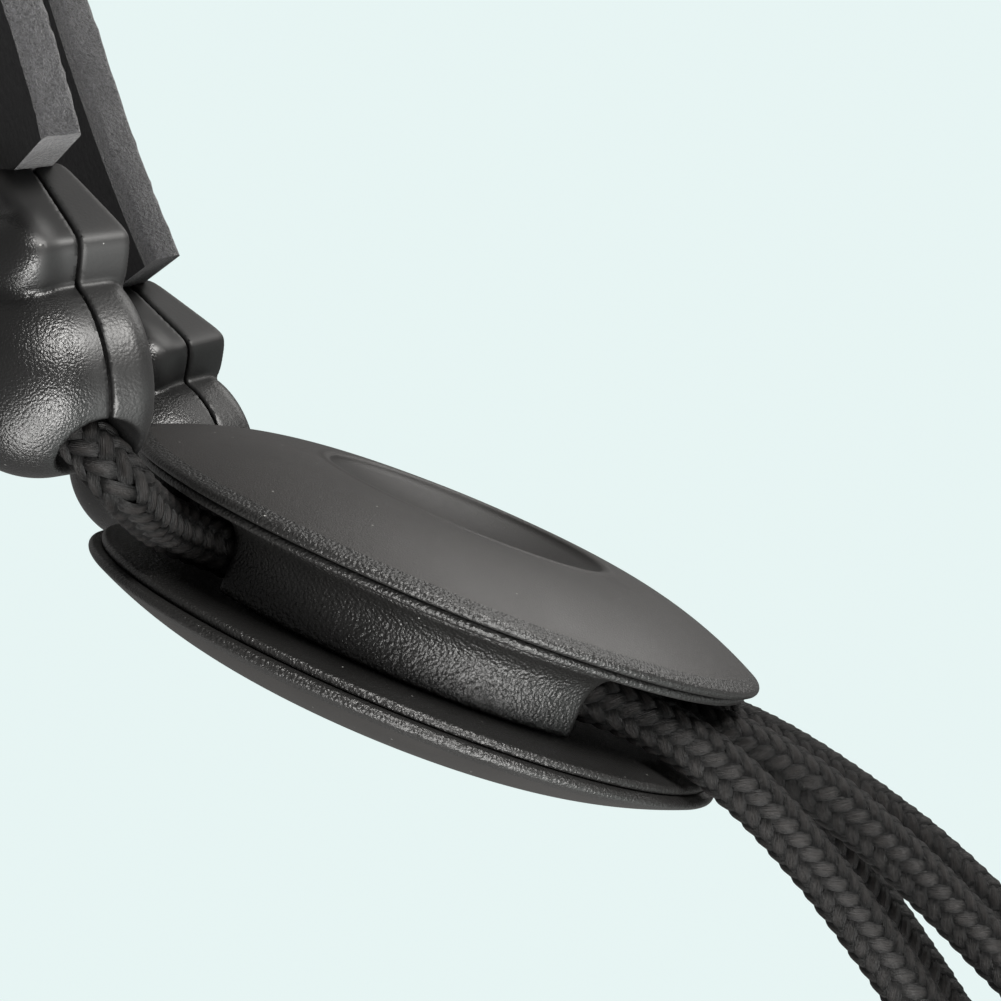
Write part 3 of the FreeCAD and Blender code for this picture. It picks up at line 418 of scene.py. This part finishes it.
SATIN = plastic("cap_satin", (0.0135, 0.0125, 0.0118), 0.47, 0.17, 0.010, 0.012, 0.3)
# darker, less reflective copy of the cap satin for the recess in each cap: painted shade of the
# recess
SHADED_DISH = plastic("dish_satin_painted_shade", (0.009, 0.0085, 0.008), 0.42, 0.17, 0.008, 0.010, 0.3, None, 0.32)
RIM = plastic("rim_texture", (0.012, 0.0118, 0.0115), 0.36, 0.28, 0.075, 0.04, 0.6)
HAMMERED = plastic("clamp_grain", (0.008, 0.008, 0.008), 0.27, 0.21, 0.034, 0.02, 0.3, "grain")
SHELL = plastic("clamp_satin", (0.012, 0.012, 0.012), 0.34, 0.26, 0.03, 0.012, 0.4, "grain")
HOOK_PLASTIC = plastic("hook_plastic", (0.016, 0.016, 0.017), 0.35, 0.3, 0.01, 0.006, 0.3)
SCREW = plastic("dark_steel", (0.05, 0.05, 0.052), 0.35, 0.5, 0.004, 0.004, 0.1)
CORD = braid_material()
GRAIN_SIDE = leather("leather_grain", (0.004, 0.004, 0.0045), (0.009, 0.009, 0.0095), 0.5,
                     0.7, 0.06, 0)
CUT_EDGE = leather("leather_edge", (0.003, 0.003, 0.004), (0.060, 0.060, 0.066), 0.75,
                   0.38, 0.22, 1)
LINING = leather("pad_lining", (0.010, 0.010, 0.011), (0.020, 0.020, 0.022), 0.7, 0.5, 0.1, 0.4)


# ---------------------------------------------------------------- cords

def on_slider(across, along, up):
    return SLIDER @ Vector((across, along, up))


def hung(across, back, up):
    return SLIDER.translation + Vector((across, back, up))


# control points of the cord: the upper routes in the slider's frame, the strands hung from it
UPPER_ROUTES = {
    1: [(20.6, -23.2, 1.9), (15.4, -21.4, 0.5), (11.8, -17.4, 0.0), (11.5, -10, 0)],
    -1: [(-21.6, -22.6, -1.6), (-15.6, -21.4, -0.8), (-11.8, -16.6, -0.1), (-11.5, -10, 0)],
}
OUTER_RIGHT = [(11.4, 13.0, -20.6), (11.2, 15.0, -30), (10.8, 15.6, -42),
               (10.0, 15.2, -56), (9.2, 15.3, -71)]
INNER_RIGHT = [(4.8, 12.1, -18.1), (4.8, 17.0, -25.8), (4.7, 20.2, -35),
               (4.6, 22.4, -47), (4.6, 24.2, -60), (4.8, 25.4, -73)]
INNER_LEFT = [(-4.8, 12.2, -18.0), (-4.9, 17.2, -26.2), (-5.0, 20.6, -34.5),
              (-5.0, 23.8, -45), (-4.9, 25.4, -58), (-4.9, 25.9, -72)]
OUTER_LEFT = [(-11.4, 13.4, -21.0), (-11.2, 15.6, -31), (-10.7, 16.3, -43.5),
              (-10.0, 16.0, -57.5), (-9.2, 15.3, -71.5)]


OUTER_CHANNEL = 11.5
EYE_BEHIND, BAR_UNDERSIDE = 20.3, -97.6
TURN_REACH = 5.9


def upper_points(side):
    place = clamp_place(side)
    points = [place @ (HOLE_START + HOLE_WAY * far) for far in (3.0, 10.0)]
    points += [on_slider(*point) for point in UPPER_ROUTES[side]]
    return points + [on_slider(side * OUTER_CHANNEL, 0, 0)]


def lower_points():
    """One strand down to the bar, up round the post in the slider, down to the bar and up."""
    turn = [(8.0, EYE_BEHIND - TURN_REACH, BAR_UNDERSIDE),
            (5.6, EYE_BEHIND + TURN_REACH, BAR_UNDERSIDE)]
    points = [on_slider(OUTER_CHANNEL, 0, 0), on_slider(OUTER_CHANNEL, 9, 0),
              on_slider(OUTER_CHANNEL, 16.5, 0.6)]
    points += [hung(*point) for point in OUTER_RIGHT + turn]
    points += [hung(*point) for point in reversed(INNER_RIGHT)]
    points += [on_slider(4.9, 14, 0.15), on_slider(5.0, -11.6, 0)]
    points += [on_slider(-5.0, -11.6, 0), on_slider(-4.9, 14, 0.15)]
    points += [hung(*point) for point in INNER_LEFT]
    points += [hung(-across, back, up) for across, back, up in reversed(turn)]
    points += [hung(*point) for point in reversed(OUTER_LEFT)]
    points += [on_slider(-OUTER_CHANNEL, 16.6, 0.6), on_slider(-OUTER_CHANNEL, 9, 0)]
    return points + [on_slider(-OUTER_CHANNEL, 0, 0)]


def smooth_line(points, step):
    """Even points along the NURBS line that has these control points."""
    data = bpy.data.curves.new("route", "CURVE")
    data.dimensions = "3D"
    spline = data.splines.new("NURBS")
    spline.points.add(len(points) - 1)
    for knot, point in zip(spline.points, points):
        knot.co = (*(point * MM), 1)
    spline.order_u = 3
    spline.use_endpoint_u = True
    spline.resolution_u = 40
    curve = bpy.data.objects.new("route", data)
    bpy.context.scene.collection.objects.link(curve)
    bpy.context.view_layer.update()
    mesh = bpy.data.meshes.new_from_object(curve)
    line = np.array([vertex.co[:] for vertex in mesh.vertices]) / MM
    bpy.data.objects.remove(curve)
    bpy.data.curves.remove(data)
    bpy.data.meshes.remove(mesh)
    runs = np.concatenate([[0], np.cumsum(np.linalg.norm(np.diff(line, axis=0), axis=1))])
    count = int(runs[-1] / step) + 1
    at = np.linspace(0, runs[-1], count)
    return np.stack([np.interp(at, runs, line[:, axis]) for axis in range(3)], axis=1), at


def frames_along(line):
    """Two directions across a line at each point, turning as little as they can."""
    way = np.gradient(line, axis=0)
    way /= np.linalg.norm(way, axis=1)[:, None]
    side = np.cross(way[0], (0.3, 0.5, 0.8))
    sides = []
    for direction in way:
        side = side - direction * (side @ direction)
        side /= np.linalg.norm(side)
        sides.append(side)
    sides = np.array(sides)
    return way, sides, np.cross(way, sides)


# braid: length of one turn, bundles each way, core and bundles off the cord's middle line
PITCH = 12.3
CARRIERS = 8
CORE_RADIUS = 1.6
BUNDLE_RADIUS, BUNDLE_WAVE = 1.83, 0.19
BUNDLE_HALF, BUNDLE_THICK = 0.60, 0.25
CORE_SIDES = 12
BRAID_STEP = 0.26


def braid(line, at):
    """Sixteen flat bundles, eight each way, each over two and under two, round a core."""
    way, first, second = frames_along(line)
    swell = 1 + 0.012 * lumps(line, 3.0, 3)
    crossing = at * (2 * CARRIERS / PITCH)
    shape = np.array([(-1, -0.32), (-0.62, 0.55), (0, 1), (0.62, 0.55), (1, -0.32)])
    points, faces, across, painted_fold_light = [], [], [], []
    for hand in (1, -1):
        for bundle in range(CARRIERS):
            angle = 2 * math.pi * bundle / CARRIERS + hand * 2 * math.pi * at / PITCH
            phase = (crossing + 2 * bundle - 0.5 if hand > 0 else 2 * bundle - crossing - 0.5)
            wave = np.cos(phase * math.pi / 2) * hand
            over = np.tanh(1.8 * wave) / math.tanh(1.8)
            radius = (BUNDLE_RADIUS + BUNDLE_WAVE * over) * swell
            out = first * np.cos(angle)[:, None] + second * np.sin(angle)[:, None]
            spot = line + out * radius[:, None]
            run = np.gradient(spot, axis=0)
            run /= np.linalg.norm(run, axis=1)[:, None]
            flat = np.cross(run, out)
            flat /= np.linalg.norm(flat, axis=1)[:, None]
            half = BUNDLE_HALF + 0.05 * over + 0.03 * lumps(spot, 2.0, 20 + bundle)
            start = sum(len(part) for part in points)
            section = [spot + flat * (half * a)[:, None] + out * (BUNDLE_THICK * b) for a, b in shape]
            points.append(np.stack(section, axis=1).reshape(-1, 3))
            faces += [tuple(start + corner for corner in face) for face in
                      grid_faces(len(line), 5, closed_columns=False)]
            length = np.repeat(at, 5)
            across.append(np.stack([np.tile(shape[:, 0] * 0.6, len(line)) + 3.1 * (
                bundle + 8 * hand), length * 1.2], axis=1))
            # painted fold light for the colour: full on a bundle's crown where it goes over, less
            # towards its edges and where it dips under
            painted_fold_light.append(np.repeat(np.clip(0.5 + 0.5 * over, 0, 1), 5)
                        * np.tile([0.35, 0.85, 1, 0.85, 0.35], len(line)))
    ring = np.linspace(0, 2 * math.pi, CORE_SIDES, endpoint=False)
    start = sum(len(part) for part in points)
    core = [line + (first * math.cos(a) + second * math.sin(a)) * CORE_RADIUS for a in ring]
    points.append(np.stack(core, axis=1).reshape(-1, 3))
    faces += [tuple(start + corner for corner in face)
              for face in grid_faces(len(line), CORE_SIDES)]
    ends = [start + index for index in range(CORE_SIDES)]
    last = start + (len(line) - 1) * CORE_SIDES
    faces += [tuple(reversed(ends)), tuple(last + index for index in range(CORE_SIDES))]
    across.append(np.zeros((len(line) * CORE_SIDES, 2)))
    # the core gets none of the painted fold light, so it is coloured as the black shade between
    # bundles
    painted_fold_light.append(np.zeros(len(line) * CORE_SIDES))
    return np.concatenate(points), faces, np.concatenate(across), np.concatenate(painted_fold_light)


def cord_piece(name, points, nodes):
    """A shown length of the cord; it takes no `length`, and the lengths in metres listed with the
    upper cords are not used.
    """
    line, at = smooth_line(points, BRAID_STEP)
    spots, faces, across, painted_fold_light = braid(line, at)
    # the painted fold light rides on the mesh as a point attribute for the cord's colour
    cord = piece(name, spots * MM, faces, [CORD], crease=180, marks={"painted_fold_light": painted_fold_light},
                 across=across)
    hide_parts(*nodes)
    return cord


for side, word, length in ((1, "right", 0.0391), (-1, "left", 0.0355)):
    cord = cord_piece("braid_upper_" + word, upper_points(side),
                      ("cord_upper_" + word, word + "_end_knot"))
    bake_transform(cord)
cord = cord_piece("braid_lower", lower_points(), ("cord_lower",))
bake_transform(cord)


# ---------------------------------------------------------------- slider

DISC_STEPS = 240
DISH_STEPS, CREST_STEPS, DOME_STEPS = 16, 8, 40
AXIS = 0.001
CREST, RECESS_FLOOR = 9.0, 6.4


def cap_profile():
    """Dish, crest, dome, rounded rim and the flat underside of a cap, as (radius, height)."""
    dish, recess, dome = 31.83, 12.6, 37
    outer = arc((AXIS, RECESS_FLOOR), (recess - 0.6, 8.67), dish, DISH_STEPS)
    outer += arc((recess - 0.6, 8.67), (recess + 0.6, CREST), -0.96, CREST_STEPS)[1:]
    outer += arc((recess + 0.6, CREST), (27.86, 5.2), -dome, DOME_STEPS)[1:]
    outer += arc((27.86, 5.2), (27.72, 4.42), -0.42, 8)[1:]
    outer += [(27.4, 4.34), (25.6, 4.34)]
    return outer


def plate_profile():
    """Underside and edge of a plate: flat by the channels, flared to a bead at the rim."""
    rim = [(AXIS, 3.0), (23.4, 3.0), (24.0, 3.06)]
    rim += [(26.6, 3.50), (26.9, 3.52)]
    rim += arc((26.9, 3.52), (27.15, 4.22), 0.42, 8)[1:]
    return rim + [(26.8, 4.3), (25.6, 4.34)]


def disc(name, outline, picks_at, flip, materials, nodes):
    """Turned piece of the slider; from row `picks_at` on it has its second material."""
    points, faces = lathe(outline, DISC_STEPS)
    if flip:
        points = points * (1, -1, -1)
    else:
        faces = [tuple(reversed(face)) for face in faces]
    rows = np.repeat(np.arange(len(outline) - 1), DISC_STEPS)
    # rows of the recess take the third material, with the painted shade of the recess
    picks = [2 if len(materials) > 2 and row <= DISH_STEPS else int(row >= picks_at)
             for row in rows]
    if name.endswith("plate"):
        faces = [tuple(reversed(face)) for face in faces]
    made = piece(name, placed(points, SLIDER), faces, materials, crease=60, picks=picks)
    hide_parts(*nodes)
    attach(made, "slider")
    return made


CAP_RIM_ROW = 58
for word, flip in (("back", False), ("front", True)):
    dish = disc(word + "_dish", cap_profile(), CAP_RIM_ROW, flip, [SATIN, RIM, SHADED_DISH],
                [word + "_cap"])
for word, flip, cad_node in (("back", False, "guide_body"), ("front", True, "cover_plate")):
    plate = disc(word + "_plate", plate_profile(), 1, flip, [RIM, RIM], [cad_node])


WALL_RADIUS, WALL_FRONT, WALL_BACK = 21.5, 14.3, 15.6
COVER_LINE = -2.85
LOOP_CENTRE, LOOP_RADIUS = -6, 8.1


def guide_walls(points):
    """Side walls, rib and post, with coves into the guide plate and a slot at the cover."""
    across, along, up = np.abs(points[:, 0]), points[:, 1], points[:, 2]
    round_side = np.hypot(across, along) - WALL_RADIUS
    block = np.maximum(14.05 - across, np.maximum(along - WALL_FRONT, -WALL_BACK - along))
    wall = both(round_side, block, 0.3)
    loop = np.where(along > LOOP_CENTRE, across, np.hypot(across, along - LOOP_CENTRE))
    rib = np.maximum(np.abs(loop - LOOP_RADIUS) - 0.8, along - 13.3)
    post = np.maximum(loop - 2.2, along - 13.3)
    inner = both(np.minimum(rib, post), COVER_LINE - up, 0.2)
    wall = both(wall, COVER_LINE - up, 0.25)
    slab = both(3.0 - up, np.hypot(across, along) - 23.2, 0.2)
    return np.maximum(np.minimum(joined(wall, slab, 3.4), inner), up - 3.3)


points, faces = skin(guide_walls, (-24, -24, -3.4), (24, 24, 3.8), 0.3)
walls = piece("guide_walls", placed(points, SLIDER), faces, [RIM], crease=60)
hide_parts("guide_body")
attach(walls, "slider")


# ---------------------------------------------------------------- clamps

# heights above the cord hole, then sizes off the seam and off the lobe's middle
TOP, SHOULDER, WAIST, LOBE = 23.0, 14.2, 11.94, 6.4
LOBE_RADIUS = 7.6
FRONT_SIDE, BACK_SIDE = 3.5, 4.2
BEAD_FORWARD = 2.6
HALF_SEAM = 0.14
HEXAGON = [(-3.0, TOP), (-8.8, SHOULDER), (-5.2, WAIST - 1), (5.2, WAIST - 1),
           (8.8, SHOULDER), (3.0, TOP)]


def hexagon_planes(shrink):
    """Sides of the clamp's hexagon as (normal across, normal up, reach), moved in by `shrink`."""
    planes = []
    for (x0, z0), (x1, z1) in zip(HEXAGON, HEXAGON[1:] + HEXAGON[:1]):
        way = (-(z1 - z0), x1 - x0)
        size = math.hypot(*way)
        way = (-way[0] / size, -way[1] / size)
        reach = way[0] * x0 + way[1] * z0 - shrink
        planes.append((way[0], way[1], reach))
    return planes


PLANES = hexagon_planes(0.25)


def hollows(points):
    """Cord hole with its flared mouth, and the slot for the leather tongue."""
    away = points - np.array(HOLE_START)
    far = away @ np.array(HOLE_WAY)
    beside = np.linalg.norm(away - far[:, None] * np.array(HOLE_WAY), axis=1)
    hole = np.maximum(beside - 2.45 - 0.35 * np.maximum(far - 5.6, 0), -far)
    slot = np.maximum(np.maximum(np.abs(points[:, 0]) - 2.75, np.abs(points[:, 1]) - 1.75),
                      14.85 - points[:, 2])
    return np.minimum(hole, slot)


def front_shell(points):
    """Hexagon with a dome at its shoulders, and a lobe with a bead, in front of the seam."""
    across, back, up = points.T
    block = slabs(PLANES, across, up, 0.5)
    lobe = np.hypot(across, up - LOBE) - LOBE_RADIUS
    block = both(block, -FRONT_SIDE - back, 0.9)
    dome = ball(points, (0, -FRONT_SIDE, SHOULDER + 0.4), (8.1, 3.4, 4.4))
    bead = ball(points, (0, -BEAD_FORWARD, LOBE), (LOBE_RADIUS,) * 3)
    lobe = both(lobe, -BEAD_FORWARD - back, 0.1)
    shape = joined(joined(block, dome, 0.9), np.minimum(lobe, bead), 0.5)
    shape = both(shape, back + HALF_SEAM, 0.16)
    core = np.maximum(np.maximum(np.minimum(slabs(PLANES, across, up, 0.5),
                                            np.hypot(across, up - LOBE) - LOBE_RADIUS) + 0.9,
                                 np.abs(back) - 0.6), -back - 0.4)
    return cut_by(np.minimum(shape, core), hollows(points), 0.3)


def back_shell(points):
    """Hexagon with a sloping back, and a lobe, behind the seam."""
    across, back, up = points.T
    slope = back - BACK_SIDE + 0.2 * np.maximum(up - 14.5, 0)
    block = both(slabs(PLANES, across, up, 0.5), slope, 0.45)
    lobe = both(np.hypot(across, up - LOBE) - LOBE_RADIUS, back - BACK_SIDE, 1.9)
    shape = joined(block, lobe, 0.5)
    shape = both(shape, HALF_SEAM - back, 0.16)
    return cut_by(shape, hollows(points), 0.3)


CLAMP_STEP = 0.27


def clamp(side, word):
    """Both shells of a clamp, with a mark for where their grain shows."""
    place = clamp_place(side)
    for part, shape, low, high, look in (
            ("front", front_shell, (-9.6, -12, -2.2), (9.6, 1.0, 23.8), HAMMERED),
            ("back", back_shell, (-9.6, -0.6, -2.2), (9.6, 5.0, 23.8), SHELL)):
        points, faces = skin(shape, low, high, CLAMP_STEP)
        if part == "front":
            forward = np.clip((-points[:, 1] - 1.2) / 2.2, 0, 1)
            lobe = np.clip((WAIST + 0.2 - points[:, 2]) / 0.8, 0, 1)
            grain = np.maximum(np.clip((-points[:, 1] - 3.2) / 0.8, 0, 1),
                               lobe * np.clip(0.35 + forward, 0, 1))
        else:
            grain = 0.15 + 0.5 * np.clip((WAIST - points[:, 2]) / 1.5, 0, 1)
        shell = piece("clamp_%s_%s" % (word, part), placed(points, place), faces, [look],
                      crease=60, marks={"grain": grain})
        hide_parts("%s_clamp_%s_shell" % (word, part))
        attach(shell, "yoke")


clamp(1, "right")
clamp(-1, "left")


# ---------------------------------------------------------------- neck band

# ways that the band faces behind and beside the neck, and its sizes
BACK_FACE = Vector((0, 0.77, 0.64)).normalized()
SIDE_FACE = Vector((0.60, -0.05, 0.80)).normalized()
THICK, PAD_THICK, PAD_GAP = 3.2, 4, 0.3
TAIL_WIDTH, NECK_WIDTH = 20, 42
TAIL_PULL, SIDE_PULL = 42, 48
COLLAR = BACK_FACE * (THICK / 2 + PAD_GAP + PAD_THICK)


def band_section(side, along):
    """Middle, way along, face direction and width: 0 at a clamp, 1 beside the neck, 2 behind."""
    half, depth, rise = 70, 62, 32
    if along <= 1:
        place = clamp_place(side)
        turn = place.to_3x3()
        start = place @ Vector((0, 0, TOP - 0.9))
        finish = COLLAR + Vector((side * half, -depth, -rise))
        uphill = Vector((0, depth, rise)).normalized()
        grips = [start, start + turn @ Vector((0, 0, TAIL_PULL)), finish - uphill * SIDE_PULL, finish]
        left = 1 - along
        shares = [left ** 3, 3 * along * left ** 2, 3 * along ** 2 * left, along ** 3]
        middle = sum((grip * share for grip, share in zip(grips, shares)), Vector())
        way = ((grips[1] - grips[0]) * left ** 2 + (grips[2] - grips[1]) * (2 * along * left)
               + (grips[3] - grips[2]) * along ** 2)
        outward = Vector((SIDE_FACE.x * side, SIDE_FACE.y, SIDE_FACE.z))
        face = turn @ Vector((0, -1, 0)) * left + outward * along
    else:
        angle = (along - 1) * math.pi / 2
        sine, cosine = math.sin(angle), math.cos(angle)
        middle = COLLAR + Vector((side * half * cosine, -depth * (1 - sine), -rise * (1 - sine)))
        way = Vector((-side * half * sine, depth * cosine, rise * cosine))
        face = SIDE_FACE * cosine + BACK_FACE * sine
        face.x *= side
    swell = min(along / 1.1, 1)
    swell = swell * swell * (3 - 2 * swell)
    return (middle, way.normalized(), face.normalized(),
            TAIL_WIDTH + (NECK_WIDTH - TAIL_WIDTH) * swell)


def section_outline(width, thick, corner):
    """Points round a flat section: (across, up), starting at the middle of the outer face."""
    half, rise = width / 2, thick / 2
    outline = []
    for sign_across, sign_up in ((1, 1), (1, -1), (-1, -1), (-1, 1)):
        middle = (sign_across * (half - corner), sign_up * (rise - corner))
        first = {(1, 1): 90, (1, -1): 0, (-1, -1): -90, (-1, 1): 180}[(sign_across, sign_up)]
        for step in range(5):
            angle = math.radians(first - step * 22.5)
            outline.append((middle[0] + corner * math.cos(angle),
                            middle[1] + corner * math.sin(angle)))
    dense = []
    for (a, b), (c, d) in zip(outline, outline[1:] + outline[:1]):
        count = max(int(math.hypot(c - a, d - b) / 1.0), 1)
        for step in range(count):
            share = step / count
            dense.append((a + (c - a) * share, b + (d - b) * share))
    return dense


def band_rows(first, last, count, rise, thick, narrower, corner):
    """Rows of points round the band from one tail, round the neck, to the other."""
    half_rows = np.linspace(first, last, count)
    places = [(1, along) for along in half_rows] + [(-1, along) for along in half_rows[-2::-1]]
    template = section_outline(TAIL_WIDTH, thick, corner)
    rows, flats = [], []
    for side, along in places:
        middle, way, face, width = band_section(side, along)
        across = way.cross(face).normalized() * side
        face = (across * side).cross(way).normalized()
        middle = middle + face * rise
        stretch = (width / 2 - narrower) / (TAIL_WIDTH / 2)
        rows.append([middle + across * (a * stretch) + face * b for a, b in template])
        flats.append([(a, b) for a, b in template])
    return np.array(rows), np.array(flats)


rows, flats = band_rows(0, 2, 300, 0, THICK, 0, 0.55)
count, around = rows.shape[:2]
edge = np.abs(flats[:, :, 0]) > 9.2
middles = rows.mean(axis=1, keepdims=True)
flat_points = rows.reshape(-1, 3)
rough = (lumps(flat_points, 0.55, 11) + 0.7 * lumps(flat_points, 0.28, 12)).reshape(count, around)
outward = rows - middles
outward /= np.linalg.norm(outward, axis=2, keepdims=True)
rows = rows + outward * (rough * np.where(edge, 0.09, 0.0))[:, :, None]
faces = grid_faces(count, around)
faces += [tuple(range(around)), tuple(reversed(range((count - 1) * around, count * around)))]
picks = []
for row in range(count - 1):
    for column in range(around):
        across, up = flats[row, column]
        picks.append(1 if abs(across) > 9.15 else (0 if up > 0 else 2))
picks += [1, 1]
band = piece("leather_band", rows.reshape(-1, 3) * MM, faces, [GRAIN_SIDE, CUT_EDGE, LINING],
             crease=70, picks=picks)
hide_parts("neck_band")
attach(band, "yoke")

rows, flats = band_rows(0.6, 2, 200, -(THICK + PAD_THICK) / 2 - PAD_GAP, PAD_THICK, 4, 1.6)
count, around = rows.shape[:2]
faces = grid_faces(count, around)
faces += [tuple(range(around)), tuple(reversed(range((count - 1) * around, count * around)))]
lining = piece("lining_pad", rows.reshape(-1, 3) * MM, faces, [LINING], crease=70)
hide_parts("neck_pad")
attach(lining, "yoke")


# ---------------------------------------------------------------- carried-over nodes

CARRIED = {
    "cover_screws": SCREW,
    "cord_eye": HOOK_PLASTIC, "hook_body": HOOK_PLASTIC, "hook_gate": HOOK_PLASTIC,
    "swivel_pin": SCREW, "swivel_washer": SCREW, "gate_pin": SCREW, "gate_spring": SCREW,
}
for name, look in CARRIED.items():
    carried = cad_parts[name]
    carried.data.materials.clear()
    carried.data.materials.append(look)


# ---------------------------------------------------------------- stage

def stage_material(name, colour):
    made, tree, shader = material(name, 0.1)
    shader.inputs["Base Color"].default_value = colour + (1,)
    shader.inputs["Roughness"].default_value = 0.9
    return made


FLOOR_DROP, FLOOR_HALF = 400, 420
floor_level = cad_box[0][2] / MM - FLOOR_DROP
front_edge = -FLOOR_HALF - 60
corners = np.array([(-FLOOR_HALF, front_edge, floor_level), (FLOOR_HALF, front_edge, floor_level),
                    (FLOOR_HALF, FLOOR_HALF, floor_level), (-FLOOR_HALF, FLOOR_HALF, floor_level)])
floor = piece("floor", corners * MM,
              [(0, 1, 2, 3)], [stage_material("floor_pale", (0.80, 0.88, 0.87))])

world = bpy.data.worlds.new("studio")
bpy.context.scene.world = world
world.use_nodes = True
sky = world.node_tree
background = sky.nodes["Background"]
seen = node(sky, "LightPath").outputs["Is Camera Ray"]
tint = node(sky, "Mix", {0: seen, "A": (0.21, 0.208, 0.205, 1), "B": (0.80, 0.91, 0.90, 1)},
            data_type="RGBA")
sky.links.new(tint.outputs["Result"], background.inputs["Color"])
background.inputs["Strength"].default_value = 1.0

slide_way = SLIDER.to_3x3() @ Vector((0, 1, 0))
normal = SLIDER.to_3x3() @ Vector((0, 0, 1))
# camera's own directions: it looks along -x, tilted down on the slider's plane and rolled
tilt = math.radians(5.3)
roll_cosine, roll_sine = 0.923, 0.384
LOOK = (Vector((-math.cos(tilt), 0, 0)) - normal * math.sin(tilt)).normalized()
leaning = (normal * math.cos(tilt) - Vector((math.sin(tilt), 0, 0))).normalized()
RIGHT = (slide_way * roll_cosine + leaning * roll_sine).normalized()
UP = (leaning * roll_cosine - slide_way * roll_sine).normalized()


def lamp(name, right, up, back, away, width, height, power, colour=(1, 1, 1)):
    """Soft box placed from the slider along the camera's own directions."""
    light = bpy.data.lights.new(name, "AREA")
    light.shape = "RECTANGLE"
    light.size, light.size_y = width, height
    light.energy = power
    light.color = colour
    thing = bpy.data.objects.new(name, light)
    way = (RIGHT * right + UP * up - LOOK * back).normalized()
    target = SLIDER.translation * MM
    thing.location = target + way * away
    thing.rotation_euler = way.to_track_quat("Z", "Y").to_euler()
    bpy.context.scene.collection.objects.link(thing)


lamp("upper_box", 0.47, 0.66, 0.60, 0.60, 0.24, 0.20, 5.6, (1, 0.985, 0.96))
lamp("lower_box", 0.34, -0.58, 0.74, 0.60, 0.22, 0.20, 5.5, (1, 0.99, 0.97))
lamp("rim_box", 0.55, 0.75, -0.45, 0.70, 0.45, 0.45, 2.0, (1, 0.985, 0.96))
lamp("under_box", -0.20, -0.90, 0.40, 0.50, 0.30, 0.25, 3.2, (1, 0.99, 0.97))

VIEW_DISTANCE = 260
view = bpy.data.cameras.new("view")
view.lens = 112
view.sensor_width = 36
view.clip_start = 0.01
camera = bpy.data.objects.new("view", view)
place = SLIDER.translation + RIGHT * 6.25 + UP * 9.25 - LOOK * VIEW_DISTANCE
turn = Matrix((RIGHT, UP, -LOOK)).transposed().to_4x4()
camera.matrix_world = Matrix.Translation(place * MM) @ turn
bpy.context.scene.collection.objects.link(camera)
bpy.context.scene.camera = camera
bpy.context.scene.view_settings.view_transform = "Standard"
